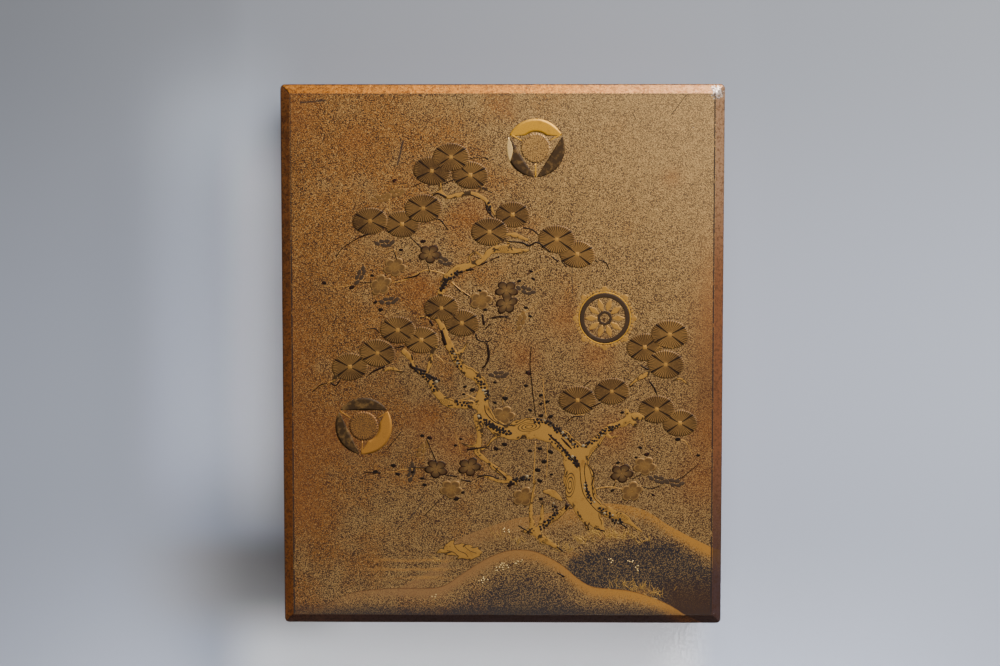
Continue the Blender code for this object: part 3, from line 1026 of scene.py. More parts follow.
DARK_STROKES = [
    [(-33.5, 73, 0.3), (-30.5, 75, 0.6), (-26, 73, 0.9)], [(-15, 74.5, 0.3), (-10.5, 72.5, 0.6)],
    [(-8, 71, 0.3), (-7, 67, 0.7), (-4, 63.5, 0.3)], [(-28.5, 79, 0.3), (-22.5, 81.5, 0.5)],
    [(-42, 78, 0.2), (-40, 79, 0.45), (-37.5, 80, 0.2)],
    [(-15, 91.5, 0.2), (-7.5, 91.5, 0.3), (-6.5, 90, 0.2)], [(-11.5, 78.5, 0.2), (-4.5, 75, 0.3)],
    [(-78, 45, 0.4), (-75.5, 48.5, 0.3), (-71, 52, 0.3), (-65.5, 55, 0.7), (-62, 56, 0.3)],
    [(-43.5, 55, 0.2), (-37.5, 49, 0.4)], [(-32, 63, 0.3), (-29, 62.5, 0.5), (-25.5, 58, 0.3)],
    [(-51, 48.5, 0.2), (-49.5, 44, 0.5)], [(-66.5, 33, 0.2), (-61, 33.5, 0.3)],
    [(-46, 35, 0.3), (-40, 36.5, 0.8), (-38.5, 38, 0.3)], [(-35, 42, 0.3), (-34, 38, 0.5)],
    [(-29, 29, 1.4), (-27, 33, 2), (-24.5, 35.5, 1)], [(-22, 37.5, 0.8), (-18.5, 38.5, 1.4)],
    [(-17, 39, 1), (-13.5, 39.5, 0.9)], [(-11.5, 41, 0.4), (-7, 43, 0.7)],
    [(-5.5, 43.5, 0.3), (-1.5, 45.5, 0.5)], [(-22.5, 32, 0.4), (-19.5, 29, 0.7)],
    [(-18, 28.5, 0.7), (-15, 26.5, 0.5)], [(-38, 16.5, 0.2), (-33.5, 18.5, 0.4)],
    [(-64, 11.5, 0.2), (-59.5, 11.5, 0.5), (-57.5, 9.5, 0.2)], [(-9.5, 18.5, 0.6), (-8.5, 13.5, 1)],
    [(-8, 12, 0.4), (-5, 14, 0.3)], [(-4.5, 16.5, 0.2), (3, 17.5, 0.4)],
    [(-12.5, 9, 0.5), (-11.5, 6.5, 0.6), (-7.5, 5.5, 0.4), (-4.5, 7, 0.2)],
    [(-34, 15.5, 0.7), (-32.5, 13, 1.2)], [(-28.5, 11, 1.2), (-26.5, 4, 1.7)],
    [(-7.5, 5, 0.5), (-6.5, 2, 1.1)], [(10, 59, 0.3), (14, 58, 0.5), (17, 55.5, 0.3)],
    [(2.5, 52.5, 0.3), (9, 52, 0.8), (12.5, 50.5, 0.9), (16.5, 52, 0.5), (22.5, 47.5, 0.4)],
    [(23, 45.5, 0.4), (26, 43, 0.5)], [(27.5, 43.5, 0.3), (30, 40.5, 0.4)],
    [(43.5, 44, 0.4), (44.5, 42.5, 0.3)], [(45.5, 44, 0.3), (48.5, 42.5, 0.4), (50, 39.5, 0.3)],
    [(-6, 16.5, 0.3), (-1, 17.5, 0.5), (3.5, 16.5, 0.3)], [(5, 46.5, 0.3), (9, 47.5, 0.4)],
    [(-89, -18, 0.2), (-85.5, -15, 0.4), (-82, -14, 0.3)],
    [(-80.5, -13.5, 0.4), (-78, -15, 0.7), (-75.5, -11.5, 0.3)],
    [(-63, -10.5, 0.3), (-60.5, -8.5, 0.7), (-55, -6, 0.8)], [(-51.5, -8, 0.3), (-46, -8.5, 0.4)],
    [(-50.5, 2.5, 0.3), (-46, 3.5, 0.7)], [(-43, -4.5, 1), (-42, -6.5, 1.5), (-35.5, -8.5, 1)],
    [(-42.5, -0.5, 0.7), (-42, -3, 0.9)], [(-36, -9.5, 0.9), (-33, -11, 1.2), (-29.5, -13, 0.8)],
    [(-28, 7.5, 1.5), (-26.8, 4.5, 1.3)],
    [(-7.2, 3.5, 0.7), (-6.4, 0.5, 1.3), (-6.6, -2.5, 1.1), (-8, -5.5, 0.7), (-9.3, -6.6, 0.9)],
    [(-8.5, -24, 0.3), (-7.5, -28, 0.5), (-3.5, -32, 0.5), (2.5, -34, 0.3)],
    [(-16.5, -45, 0.9), (-13, -44.5, 0.9), (-6, -43.5, 0.4)], [(-4.5, -52.5, 0.4), (2, -58.5, 0.6)],
    [(-12, -58, 0.3), (-7.5, -57, 0.6), (-1.5, -58.5, 0.3)], [(-19.5, -59, 0.4), (-14.5, -60, 0.5)],
    [(-26, -57, 0.4), (-21, -57.5, 0.5)], [(-41.5, -53.5, 0.3), (-35.5, -53.5, 0.4)],
    [(-65, -55.5, 0.2), (-57, -56, 0.5)], [(-35.5, -40, 0.3), (-31, -50.5, 0.4)],
    [(-47.5, -37, 0.3), (-54, -45, 0.2)], [(-29.5, -68.5, 0.2), (-36.5, -76, 0.3)],
    [(13.5, 3.5, 0.3), (13, -5.5, 0.4), (14, -16, 0.4), (15.5, -29, 0.3)],
    [(38, -15, 0.2), (41.5, -12.5, 0.6)], [(41.5, -25, 0.3), (46, -23, 0.7)],
    [(30, -32, 0.2), (33.5, -29.5, 0.4), (37.5, -29.5, 0.2)], [(64.5, -5.5, 0.3), (68.5, -7.5, 0.8)],
    [(59.5, -15.5, 0.4), (61.5, -14.5, 0.5)], [(68.5, -12.5, 0.4), (71, -16, 0.8), (72.5, -19.5, 0.3)],
    [(52, -62, 0.3), (53, -60, 0.3)], [(60.5, -58.5, 0.2), (65, -56.5, 0.3)],
    [(65, -62, 0.2), (69.5, -63, 0.3), (74.5, -61.5, 0.2)],
    [(82, -58.5, 0.3), (84.5, -57.5, 0.3), (91, -52, 0.2)],
    [(21.5, -37.6, 0.7), (24, -40, 1.2), (27, -42.6, 0.8), (30, -46.4, 1.3),
     (33, -49.5, 0.7), (34.6, -53, 0.9)],
    [(22.5, -33.4, 0.4), (26, -35.2, 0.9), (29, -37.8, 1.3), (31.5, -40.8, 0.9), (34, -43.5, 0.4)],
    [(27.5, -39.4, 0.5), (30, -42, 1.3), (32.4, -44.6, 0.5)], [(33.5, -48, 1.2), (35.5, -53, 1.8)],
    [(29.5, -73, 1.2), (30.5, -70.5, 2)], [(2.5, -62, 1.2), (5, -60.5, 1.4)],
    [(7.5, -80.5, 0.4), (12.5, -83.5, 0.5)], [(25.5, -90.5, 0.4), (28.5, -92.5, 0.4)],
    [(38.5, -78.5, 0.3), (40.5, -82.5, 0.5)], [(44, -82, 0.3), (48, -83, 0.5)],
    [(54, -78.5, 0.3), (58.5, -81.5, 0.5)], [(25.5, -102.5, 0.4), (29, -104.5, 0.8)],
    [(36.1, -51.9, 0.3), (37, -61.7, 0.4), (38.8, -67.1, 0.35), (44.2, -73.4, 0.4), (47, -74.3, 0.3)],
    [(38.8, -51, 0.5), (38.4, -55.5, 0.35), (39.3, -61.7, 0.4), (40.6, -68, 0.3)],
    [(40.2, -51.9, 0.4), (42.8, -56.3, 0.5), (42, -61.7, 0.35), (42.8, -67.1, 0.4), (46, -70.7, 0.3)],
    [(-26, -92.2, 0.2), (-23, -93, 0.25), (-20.5, -95, 0.2)],
    [(-22.6, -89.9, 0.2), (-20.6, -92.2, 0.25), (-17.4, -93.6, 0.25), (-16, -95.4, 0.2)],
    [(-17.6, -90.4, 0.2), (-15.2, -92.4, 0.25), (-12.2, -93.4, 0.2)],
]
STROKE_STEP = 0.6
GOLD_RISE = 0.03
DARK_RISE = 0.17


def stroke(row, rise):
    """A brush stroke: a low arch carried along a smooth path of (x, y, width).

    The arch goes from one sunk edge over 0.7, 1 and 0.7 of the rise to the other edge, and the
    stroke is closed below and at both ends.
    """
    path = smooth_curve(row, STROKE_STEP)
    side = np.array([-0.5, -0.32, 0, 0.32, 0.5])
    arch = np.array([-SUNK, 0.7 * rise, rise, 0.7 * rise, -SUNK])
    ground_line = path[:, None, :2] + left_of(path)[:, None] * (side[:, None] * path[:, None, 2:])
    points = np.concatenate([ground_line, np.broadcast_to(arch[:, None], (len(path), 5, 1))], axis=-1)
    rows = np.arange(len(path) * 5).reshape(len(path), 5)
    return points.reshape(-1, 3), [*ring_faces(rows), rows[0], rows[-1][::-1]]


def flat_pieces(name, shapes, finish):
    """Several shapes of points and faces as one piece of the picture."""
    points, faces, count = [], [], 0
    for shape_points, shape_faces in shapes:
        points.append(shape_points)
        faces += [np.asarray(face) + count for face in shape_faces]
        count += len(shape_points)
    picture_piece(name, np.concatenate(points), faces, finish)


def dark_finish(name, dark, worn, wear=0.0):
    """Blackened lacquer of the picture, worn in places to the brown below."""
    material = new_finish(name)
    rubbed = fade(noise(0.003, 4.0, 0.7), 0.55 - wear, 0.78 - wear, 0.0, 0.7 + wear)
    colour = layers(dark, (rubbed, worn))
    return polished(material, colour, fade(rubbed, 0, 0.7, 0.50, 0.60), Specular_IOR_Level=0.14)


flat_pieces("gold_twigs", [stroke(row, GOLD_RISE) for row in GOLD_TWIGS], plain_gold)
# The dark strokes are drawn a little fuller, as the brush leaves them.
fuller = [[(x, y, 1.25 * width + 0.12) for x, y, width in row] for row in DARK_STROKES]
picture_black = dark_finish("picture black", PICTURE_DARK, LACQUER_RED)
flat_pieces("dark_strokes", [stroke(row, DARK_RISE) for row in fuller], picture_black)


# The lichen
# Lichen on the old bark: small round dots of blackish lacquer, a few of them pale gold. They are
# dropped on in two loose rows along the limbs, and stand a little higher than the gold.
LICHEN_PATCHES = [
    [(-28.5, 30), (-25.5, 35), (-20.5, 38)], [(-24.5, 2.5), (-19.5, -6.5)],
    [(-8.5, -16), (-7, -19), (-7.6, -22)], [(-11.5, -29.5), (-8.5, -32), (-3, -34.5)],
    [(-12, -10.5), (-9.5, -14.5), (-7, -20)], [(-21.5, -23), (-15.5, -24)],
    [(-8, -31.5), (-3.5, -34.5), (2.5, -37)], [(-6, -33.5), (-1.5, -36), (4.5, -37.5)],
    [(-4.5, -34), (1, -36)], [(22, -38.8), (29, -45.6), (34.8, -52)], [(23.5, -35), (30, -38.5), (35, -44)],
    [(33.5, -48.5), (35.5, -53)], [(4, -60.5), (8.5, -58.5), (13.5, -58)],
    [(25.5, -74), (22, -78), (17.5, -82)], [(45.5, -72.5), (51.5, -76)], [(-33, -14.5), (-31.5, -16.5)],
    [(-36, -10), (-29.5, -13)], [(38.5, -60), (40.5, -67), (43, -70)], [(43, -41), (48, -36), (55, -33.5)],
    [(23.5, -70), (25, -73.5)], [(51.5, -78.5), (56, -78)], [(-34, -12.5), (-41, -6.5)],
    [(14.5, -31.5), (20, -32), (27, -35)], [(-7, 70.5), (-5, 66)], [(38, -43.5), (42.5, -41)],
]
LICHEN_FOR_MM = 1.25
LICHEN_ROW = 0.55
LICHEN_HEIGHT = 0.185
LICHEN_DARK = (0.017, 0.012, 0.010)
LICHEN_PALE = (0.24, 0.18, 0.10)
CURVE_STEP = 0.2


def scattered(line, for_each_mm, spread):
    """Random places along a line through points, and to either side of it."""
    path = smooth_curve(line, CURVE_STEP)
    left = left_of(path)
    count = max(3, round(len(path) * CURVE_STEP * for_each_mm))
    chosen = rng.integers(0, len(path), count)
    return path[chosen] + left[chosen] * rng.normal(0, spread, (count, 1))


def clustered(line):
    """Dots in two loose rows along a line through points, evenly spaced but for a little chance."""
    path = smooth_curve(line, CURVE_STEP)
    left = left_of(path)
    count = max(3, round(len(path) * CURVE_STEP * LICHEN_FOR_MM))
    chosen = ((np.arange(count) + rng.uniform(0.2, 0.8, count)) / count * len(path)).astype(int)
    side = LICHEN_ROW * (-1.0) ** np.arange(count) + rng.normal(0, 0.24, count)
    return path[chosen] + left[chosen] * side[:, None]


def dotted(u, a):
    """A dot with a nearly flat top: 1 - 0.24·u²."""
    return 1 - 0.24 * u**2


lichen_finish = new_finish("lichen")
shine = fade(attribute("silver"), 0.91, 0.95)
polished(
    lichen_finish,
    layers(LICHEN_DARK, (shine, LICHEN_PALE)),
    fade(noise(0.002), 0.3, 0.7, 0.42, 0.55),
    grain=0.0005,
    IOR=1.5,
    Metallic=shine * 0.3,
    Specular_IOR_Level=0.08,
)

lichen_spots = np.concatenate([clustered(patch) for patch in LICHEN_PATCHES])
count = len(lichen_spots)
sizes = rng.uniform(0.50, 0.84, count)
turns = rng.uniform(0, math.pi, count)
lichen_places = np.column_stack([lichen_spots, sizes, sizes * 0.85, turns, np.full(count, LICHEN_HEIGHT)])
lichen, u, _ = medallions("lichen", lichen_places, np.ones(9), [0.6, 1], dotted, lichen_finish)
write_attributes(lichen, silver=np.repeat(rng.random(count), len(u) // count))


# The plum blossoms
# Flat five-petalled flowers in brown-black and in thin gold, flowers seen from the side as rows of
# ovals, and small black buds with a trace of red. Each flower has its x, y and turn in degrees.
BLOSSOMS = [(-34, 46.6, 5), (-31, -54, -8), (-15.5, -53, 12), (2, 29.7, 0), (2, 23.2, 36), (55.8, -56, 10)]
GOLD_BLOSSOMS = [
    (-50.5, 40.5, 8), (-57, 32, 40), (-10, 25, 20), (-24, -63.5, 0), (0.5, -29, 12), (60.5, -64.5, 30),
    (66.5, -52.5, 5), (10, -67, 24),
]
SIDE_BLOSSOMS = [
    (-55, 51.5, 0), (-66.5, 36.5, 62), (-53, 24.5, 5), (-28, 43.5, -30), (11, 29.5, -20),
    (-42.5, -55.5, 78), (73, -59, -15), (80.5, -60.5, -10), (-1.5, -10, 0),
]
SIDE_GOLD = [(-56.5, 72.5, 5), (-50, 75, 8), (9, 15.5, 70), (-37, -44.5, 50)]
BUDS = [
    (-50.5, 81), (-37, 52.5), (-47.5, 48.5), (-61, 36.5), (-70.5, 31), (-59.5, 24), (-57, 20.5),
    (-83.5, 33), (-10.5, 29.5), (-8, 20.5), (13.5, 38.5), (14.5, 35), (8, 34), (11, 21.5), (13, 17.5),
    (-37.5, -38.5), (-34, -39.5), (-19.5, -40), (-22, -43), (-51, -52.5), (-49, -56.5), (-42, -55.5),
    (-37.5, -58.5), (-36.5, -61.5), (-18.5, -65), (-21.5, -68), (-59.5, -55.5), (-17.5, -15.5), (-18, -19),
    (-14, -17), (-3.5, -23), (1.5, -21), (-3, -44.5), (1, -42.5), (12, -9), (11, -15), (1, -21),
    (18, -19.5), (18, -23.5), (21, -22.5), (13, -26.5), (18, -29), (22.5, -29.5), (-3.5, -23),
    (-3.5, -13.5), (13, -45.5), (17.5, -44.5), (22.5, -46), (19.5, -50.5), (16.5, -54.5), (1, -42.5),
    (-3, -44.5), (56, -27.5), (64.5, -44), (62.5, -48.5), (67.5, -47), (54, -51), (70.5, -66), (51.5, -64),
    (18, -68), (17.5, -59.5), (23, -56.5), (91.5, -47.5), (82, -40),
]
BLOSSOM_HALF = (5.7, 4.5)
# The petals of a flower seen from the side: the place along it, the rise and the half length
SIDE_PETALS = [
    (-3.6, -0.1, 1.45), (-1.5, 1.0, 1.35), (1.0, 1.1, 1.40), (3.4, 0.4, 1.40), (-0.6, -0.9, 1.35),
    (1.9, -0.8, 1.30),
]
PETAL_OUT = 0.62
PETAL_RADIUS = 0.385
OVAL_RINGS = [0.5, 0.85, 1]


def petals(angle):
    """Five round petals: c·cos b + √(r² - c²·sin² b), b being the angle from the nearest petal."""
    b = (angle + math.pi / 5) % (2 * math.pi / 5) - math.pi / 5
    return PETAL_OUT * np.cos(b) + np.sqrt(PETAL_RADIUS**2 - (PETAL_OUT * np.sin(b)) ** 2)


def cupped(u, a):
    """Petals that rise to a soft bank inside their rim and sink a little towards the heart.

    The height is 0.55 + 0.45·sin(π·v) - 0.25·u⁸, where v is 1.15·u - 0.15, held between 0 and 1.
    """
    return 0.55 + 0.45 * np.sin(math.pi * np.clip(1.15 * u - 0.15, 0, 1)) - 0.25 * u**8


def blossom_finish(name, rim, petal, middle, metallic):
    """A petal's colour from its rim to the heart, with fine stamens drawn in gold."""
    material = new_finish(name)
    out = attribute("out")
    mottled = fade(noise(0.0007, 2.0), 0.35, 0.75, 0.0, 0.35)
    colour = layers(
        middle,
        (fade(out, 0.30, 0.75), petal),
        (fade(out, 0.76, 0.88), rim),
        (fade(attribute("around"), -0.80, -0.97) * fade(out, 0.25, 0.5), rim),
        (fade(attribute("stamen"), 0.86, 0.97) * fade(out, 0.52, 0.44) * 0.6, PICTURE_GOLD),
        (mottled, LACQUER_RED),
    )
    gloss = {"Metallic": metallic, "Specular_IOR_Level": 0.16}
    return polished(material, colour, fade(mottled, 0, 0.35, 0.48, 0.58), **gloss)


def blossom_piece(name, flowers, height, finish):
    """All the open flowers of one colour as one piece, with how far out each point lies."""
    places = [(x, y, *BLOSSOM_HALF, math.radians(turn), height) for x, y, turn in flowers]
    outline = petals(circle(70) + math.pi / 10)
    piece, u, a = medallions(name, places, outline, np.linspace(0.12, 1, 8), cupped, finish)
    write_attributes(piece, out=u, around=np.cos(5 * (a + math.pi / 10)), stamen=np.abs(np.cos(10 * a)))


brown_black = ((0.019, 0.010, 0.005), (0.063, 0.036, 0.015), (0.108, 0.062, 0.023))
thin_gold = ((0.220, 0.120, 0.038), (0.112, 0.060, 0.021), (0.175, 0.094, 0.029))
blossom_piece("dark_blossoms", BLOSSOMS, 0.05, blossom_finish("dark petals", *brown_black, 0.1))
blossom_piece("gold_blossoms", GOLD_BLOSSOMS, 0.02, blossom_finish("gold petals", *thin_gold, 0.3))


def side_views(flowers, height):
    """Flowers seen from the side, each as ovals in two rows."""
    for x, y, turn in flowers:
        lean = math.radians(turn)
        for out, rise, half in SIDE_PETALS:
            across = x + out * math.cos(lean) - rise * math.sin(lean)
            along = y + out * math.sin(lean) + rise * math.cos(lean)
            yield across, along, half, 0.64 * half, lean + 0.12 * out, height


def ovals(name, places, finish):
    """Low oval domes as one piece."""
    medallions(name, list(places), np.ones(14), OVAL_RINGS, domed, finish)


umber = dark_finish("side petals", (0.044, 0.027, 0.016), (0.095, 0.054, 0.026))
ovals("side_blossoms", side_views(SIDE_BLOSSOMS, 0.05), umber)
ovals("side_gold", side_views(SIDE_GOLD, 0.03), gold_finish("dull gold", (0.17, 0.088, 0.024)))
bud_black = dark_finish("buds", (0.010, 0.006, 0.004), (0.10, 0.018, 0.010))
bud_sizes, bud_turns = rng.uniform(0.75, 1.3, len(BUDS)), rng.uniform(-0.6, 0.6, len(BUDS))
buds = [
    (x, y, 1.12 * size, 0.70 * size, turn, 0.14)
    for (x, y), size, turn in zip(BUDS, bud_sizes, bud_turns)
]
ovals("buds", buds, bud_black)


# The roundels
# Three round devices in gold and dark lacquer: a ten-petalled wheel in a ring with a beaded rim,
# and two discs in which a gold crescent and dark crescents close round a plain rosette.
WHEEL = (47.9, 16.6)
WHEEL_PETALS = 10
WHEEL_BEADS = 48
BEAD_RADIUS = 13.2
DISC_RADIUS = 13.7
ROSETTE_RADIUS = 7.2
ROSETTE_GAP = 0.3
ROSETTE_RAYS = 32
WHEEL_PETAL_OUT = 6.3
WHEEL_PETAL_HALF = (3.1, 1.35)
LEAF_POWER = 1.2
HOOP_STEPS = 90
DISCS = [((15.6, 96.2), 1.0, 90), ((-65, -34), 0.97, -32)]


def round_about(middle, radius, angle, z):
    """Points at a radius and an angle round a middle, as one array."""
    x, y = middle[0] + radius * np.cos(angle), middle[1] + radius * np.sin(angle)
    return np.stack(np.broadcast_arrays(x, y, z), axis=-1).reshape(-1, 3)


def ring_sector(middle, inner, outer, start, end, rise, turn=0.0):
    """A flat band round a middle, from one angle to another in degrees, with soft edges.

    The inner radius is a number, or a function of the share t of the way round. At the share s of
    the way across, the height is the rise times 1 - (2s - 1)⁸.
    """
    steps = max(6, round(abs(end - start) / 4))
    t, share = np.meshgrid(np.linspace(0, 1, steps + 1), np.linspace(0, 1, 6), indexing="ij")
    inner = inner(t) if callable(inner) else inner
    angle = np.radians(start + turn + (end - start) * t)
    radius = outer + share * (inner - outer)
    points = round_about(middle, radius, angle, rise * (1 - (2 * share - 1) ** 8))
    return closed_below(points, grid_faces(steps + 1, 6)[:, ::-1], -SUNK)


def hoop(middle, inner, outer, rise):
    """A flat closed ring with soft edges: a square profile (radius, height) carried once round."""
    soft = 0.2 * (outer - inner)
    half = [(outer, -SUNK), (outer, 0), (outer - soft, rise)]
    profile = half + [(inner + soft, rise), (inner, 0), (inner, -SUNK)]
    radius, height = np.array(profile).T[:, :, None]
    rows = np.arange(len(profile) * HOOP_STEPS).reshape(-1, HOOP_STEPS)
    return round_about(middle, radius, circle(HOOP_STEPS), height), ring_faces([*rows, rows[0]])


def crescent(middle, size, turn, span, near):
    """A crescent inside a disc: out to the disc's rim, and in to a straight chord or to a circle.

    The chord lies at near / cos(angle from its middle), and the circle just outside the rosette.
    """

    def chord(t):
        along_chord = near / np.cos(np.radians(span) * (2 * t - 1))
        return np.maximum(ROSETTE_RADIUS + ROSETTE_GAP, along_chord) * size

    return ring_sector(middle, chord, DISC_RADIUS * size, -span, span, 0.02, turn)


def rays(a):
    """How strongly a ray of the rosette shows in a direction: |cos(16a)|."""
    return np.abs(np.cos(ROSETTE_RAYS / 2 * a))


gold_sectors, dull_sectors, dark_sectors = [], [], []
for (middle, size, turn), golden in zip(DISCS, (gold_sectors, dull_sectors)):
    golden.append(crescent(middle, size, turn, 64, 5.7))
    dark_sectors += [crescent(middle, size, turn + aside, 55, 7.6) for aside in (122, -122)]
    for spoke in (62, -62, 180):
        ends = ROSETTE_RADIUS * size, DISC_RADIUS * size
        golden.append(ring_sector(middle, *ends, -1.6, 1.6, GOLD_RISE, turn + spoke))
gold_sectors.append(hoop(WHEEL, 11.8, 12.3, GOLD_RISE))
flat_pieces("roundel_gold", gold_sectors, gold_finish("roundel gold", (0.57, 0.28, 0.015)))
flat_pieces("roundel_dull", dull_sectors, gold_finish("dull roundel gold", (0.40, 0.175, 0.026)))
roundel_black = dark_finish("roundel dark", (0.036, 0.020, 0.009), (0.14, 0.076, 0.024), 0.10)
flat_pieces("roundel_dark", dark_sectors, roundel_black)
wheel_rings = [hoop(WHEEL, inner, outer, GOLD_RISE) for inner, outer in ((9.6, 11.7), (2.1, 3.4))]
wheel_black = dark_finish("wheel dark", (0.038, 0.022, 0.012), (0.075, 0.044, 0.020))
flat_pieces("wheel_rings", wheel_rings, wheel_black)
sliver = ring_sector(DISCS[0][0], lambda t: 10.4 + 3.0 * (2 * t - 1) ** 2, DISC_RADIUS, 158, 208, 0.04)
flat_pieces("roundel_sliver", [sliver], gold_finish("pale gold", (0.66, 0.44, 0.17)))


def about_wheel(radius, turn):
    """A place at a radius and a turn round the wheel's middle."""
    return WHEEL[0] + radius * math.cos(turn), WHEEL[1] + radius * math.sin(turn)


wheel_petals = [
    (*about_wheel(WHEEL_PETAL_OUT, turn), *WHEEL_PETAL_HALF, turn, GOLD_RISE)
    for turn in circle(WHEEL_PETALS)
]
# The outline of a petal, pointed at both ends: (|cos a|ⁿ + |sin a|ⁿ) to the power -1/n
ends_and_sides = np.abs([np.cos(circle(24)), np.sin(circle(24))])
leaf = (ends_and_sides**LEAF_POWER).sum(axis=0) ** (-1 / LEAF_POWER)
medallions("wheel_petals", wheel_petals, leaf, OVAL_RINGS, domed, plain_gold)
beads = []
for number, turn in enumerate(circle(WHEEL_BEADS)):
    large = number % 6 == 0
    size = 0.68 + 0.65 * large
    beads.append((*about_wheel(BEAD_RADIUS + 0.5 * large, turn), size, size, turn, GOLD_RISE))
ovals("wheel_beads", beads, plain_gold)

rosette_finish = new_finish("rosette")
out = attribute("out")
ray = fade(attribute("ray"), 0.80, 0.95) * fade(out, 0.08, 0.2) * fade(out, 1.0, 0.72)
grain = fade(noise(0.0004, 1.0), 0.40, 0.58)
upper = fade(axes()[1], 0.0, 0.06)
flakes = layers((0.22, 0.100, 0.026), (upper, (0.37, 0.205, 0.064)))
ray_gold = layers((0.30, 0.145, 0.030), (upper, PICTURE_GOLD))
colour = layers(LACQUER_BROWN, (grain, flakes), (ray * 0.85, ray_gold))
rosette_gloss = {"Metallic": largest(ray, grain) * 0.4, "Specular_IOR_Level": 0.3}
polished(rosette_finish, colour, fade(ray, 0, 1, 0.52, 0.45), **rosette_gloss)
rosette_places = [
    (*middle, ROSETTE_RADIUS * size, ROSETTE_RADIUS * size, 0, 0.012) for middle, size, _ in DISCS
]
rosettes, u, a = medallions(
    "rosettes",
    rosette_places,
    0.93 + 0.07 * rays(circle(4 * ROSETTE_RAYS)),
    np.linspace(0.1, 1, 7),
    lambda u, a: 1 - 0.5 * u * (1 - rays(a)),
    rosette_finish,
)
write_attributes(rosettes, ray=rays(a), out=u)


# The ground's small things
# Tufts of grass in fine gold strokes, and rows of tiny squares cut from gold foil and laid one by
# one in the lacquer. A tuft has its x, y and number of blades, and a row of squares its two ends.
TUFTS = [
    (20, -88, 18), (28, -92, 22), (36, -88, 30), (43, -84, 34), (50, -86, 32), (58, -86, 24), (66, -88, 14),
    (-2, -86, 10), (8, -88, 12), (14, -84, 12), (56, -109, 20), (64, -110.5, 26), (72, -113, 20),
    (-28, -97, 9),
]
SQUARE_ROWS = [
    [(49.5, -96.5), (52.5, -96)], [(57.5, -97.5), (61, -97)], [(62, -100), (65, -102)],
    [(-12, -108), (-6, -104.5)], [(-6, -102), (2, -98.5)], [(-0.5, -99.5), (9.5, -97.5)],
    [(-33, -114), (-31, -114)], [(-0.5, -83), (5, -82)],
]
SQUARE_HALF = 0.31

grass = []
for x, y, blades in TUFTS:
    leans, lengths = rng.normal(0, 0.7, blades), rng.uniform(1.8, 4.2, blades)
    shifts, lifts = rng.normal(0, 2.6, blades), rng.normal(0, 0.9, blades)
    for lean, length, shift, lift in zip(leans, lengths, shifts, lifts):
        foot = (x + shift, y + lift, 0.22)
        bend = (foot[0] + 0.4 * length * math.sin(lean), foot[1] + 0.5 * length * math.cos(lean), 0.32)
        tip = (foot[0] + length * math.sin(lean), foot[1] + length * math.cos(lean), 0.12)
        grass.append(stroke([foot, bend, tip], 0.05))
flat_pieces("grass", grass, gold_finish("grass gold", (0.42, 0.245, 0.055)))

squares = []
for start, end in SQUARE_ROWS:
    for middle in scattered([start, tuple(np.mean([start, end], axis=0)), end], 1.1, 0.7):
        corner_angles = rng.uniform(0, math.pi / 2) + math.pi / 4 + circle(4)
        top = round_about(middle, SQUARE_HALF * math.sqrt(2), corner_angles, 0.06)
        squares.append(closed_below(top, np.array([[0, 1, 2, 3]]), -SUNK))
flat_pieces("foil_squares", squares, gold_finish("gold foil", (0.66, 0.47, 0.20)))


# The floor
# A plain pale sheet of paper under the box. It is darker towards the far side and beyond the box's
# sides, a painted falloff of light, and soft paler and darker strips beside the box follow the tone
# that the photograph has there: the paler ones are painted light over the box's shadow, and the
# darker one by its lower left corner a painted shadow.
FLOOR_HALF = 3
FLOOR_FAR = (0.180, 0.192, 0.220)
FLOOR_NEAR = (0.410, 0.450, 0.560)
# The colour of the painted light laid over the box's shadow
FLOOR_PAINTED_LIGHT = (0.90, 0.91, 0.97)
FLOOR_SHADE = (0.32, 0.315, 0.325)
floor_finish = new_finish("floor paper")
x, y, _ = axes()
beside = fade(x, -0.07, -0.10)
# Painted falloff of light: the paper darkens towards the far side
tone = layers(FLOOR_FAR, (fade(y, 0.20, -0.10), FLOOR_NEAR))
# Painted falloff of light: the paper darkens beyond the box's left and right sides
sides = fade(x, -0.25, -0.13, 0.96, 1.05) * fade(x, -0.140, -0.112, 0.84, 1.0)
sides = sides * fade(x, 0.09, 0.13, 1.0, 0.93)
# Painted light: paler strips in front of the box and beside its left side lift the box's shadow
front = fade(y, -0.118, -0.128) * fade(y, -0.200, -0.150) * fade(x, 0.105, 0.080) * fade(x, -0.145, -0.110)
left = fade(x, -0.142, -0.106) * beside * fade(y, 0.120, 0.070) * fade(y, -0.108, -0.078) * 0.62
# A painted shadow: a darker patch beside the box's lower left corner
shaded = fade(x, -0.200, -0.125) * beside * fade(y, -0.086, -0.106) * fade(y, -0.150, -0.118)
tone = layers((0, 0, 0), (sides, tone), (largest(front, left), FLOOR_PAINTED_LIGHT), (shaded, FLOOR_SHADE))
set_shader(Base_Color=tone, Roughness=0.9)
floor_mesh = bpy.data.meshes.new("floor")
floor_corners = np.array([(-1, -1, 0), (1, -1, 0), (1, 1, 0), (-1, 1, 0)]) * FLOOR_HALF
floor_mesh.from_pydata(floor_corners.tolist(), [], [(0, 1, 2, 3)])
floor_mesh.materials.append(floor_finish)
floor = bpy.data.objects.new("floor", floor_mesh)
bpy.context.scene.collection.objects.link(floor)


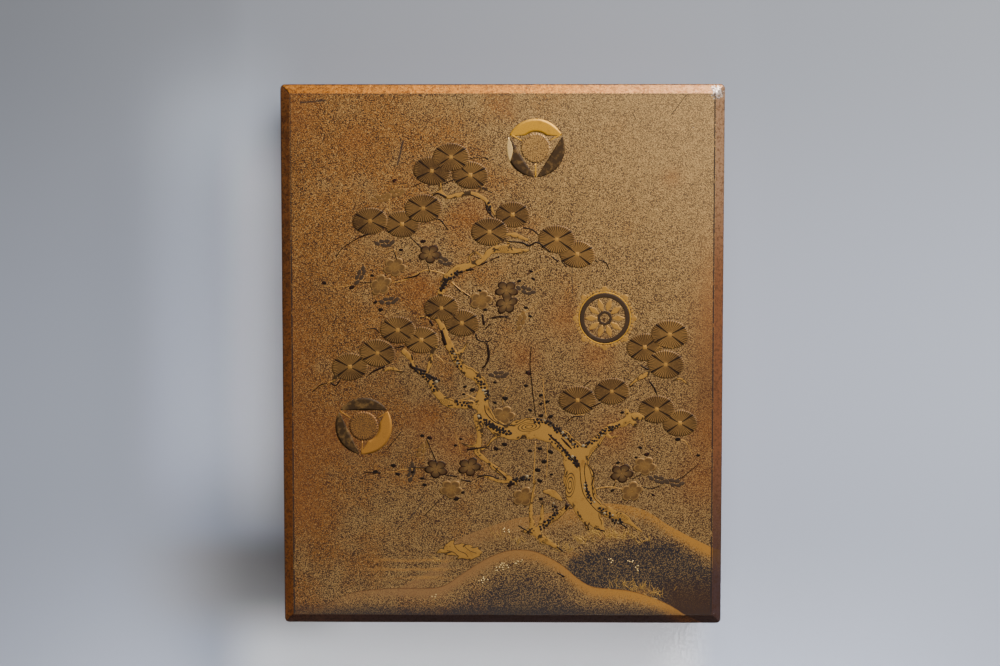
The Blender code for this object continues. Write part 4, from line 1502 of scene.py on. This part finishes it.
# The studio light
# A large soft light stands to the upper right of the picture, a long low one beyond its top edge
# catches the upper chamfer, and a faint one the left chamfer. A weak one opens the near side, and
# two narrow ones the floor in front of the box and to its left.
LID_MIDDLE = (0.0, 0.0, 0.03)


def softbox(name, at, width, height, watts, colour=(1, 1, 1), aim=LID_MIDDLE, spread=180):
    """A soft rectangular lamp that faces its aim, with its light kept within the spread in degrees."""
    lamp = bpy.data.lights.new(name, "AREA")
    lamp.shape = "RECTANGLE"
    lamp.size = width
    lamp.size_y = height
    lamp.energy = watts
    lamp.color = colour
    lamp.spread = math.radians(spread)
    holder = bpy.data.objects.new(name, lamp)
    holder.location = at
    away = np.array(at) - aim
    tilt = math.atan2(math.hypot(away[0], away[1]), away[2])
    holder.rotation_euler = (tilt, 0, math.atan2(away[0], -away[1]))
    bpy.context.scene.collection.objects.link(holder)


softbox("key", (0.48, 0.62, 0.48), 0.70, 0.45, 17.5, (1.0, 0.97, 0.92))
softbox("far strip", (0.38, 1.20, 0.64), 1.0, 0.25, 19.5)
softbox("near fill", (-0.1, -1.0, 1.9), 1.2, 0.8, 4)
softbox("left edge", (-1.15, 0.05, 0.62), 0.9, 0.2, 0.22, (1.0, 0.90, 0.80))
softbox("near floor", (0.0, -0.70, 0.95), 0.5, 0.04, 0.50, aim=(0.0, -0.255, 0.0), spread=16)
softbox("left floor", (-0.45, 0.028, 0.95), 0.20, 0.02, 0.028, aim=(-0.137, 0.026, 0.0), spread=5)
world = bpy.data.worlds.new("studio")
world.use_nodes = True
world.node_tree.nodes["Background"].inputs["Color"].default_value = (0.88, 0.88, 0.90, 1)
world.node_tree.nodes["Background"].inputs["Strength"].default_value = 0.10
bpy.context.scene.world = world


# The camera
# It looks down on the lying box as the picture was taken of it: nearly square on, from a little
# beyond the picture's top.
lens = bpy.data.cameras.new("camera")
lens.lens = 85
lens.sensor_width = 36
camera = bpy.data.objects.new("camera", lens)
camera.location = (0.0136, 0.1125, 1.1368)
camera.rotation_euler = np.radians([-5.31, 0.77, -0.02])
bpy.context.scene.collection.objects.link(camera)
bpy.context.scene.camera = camera
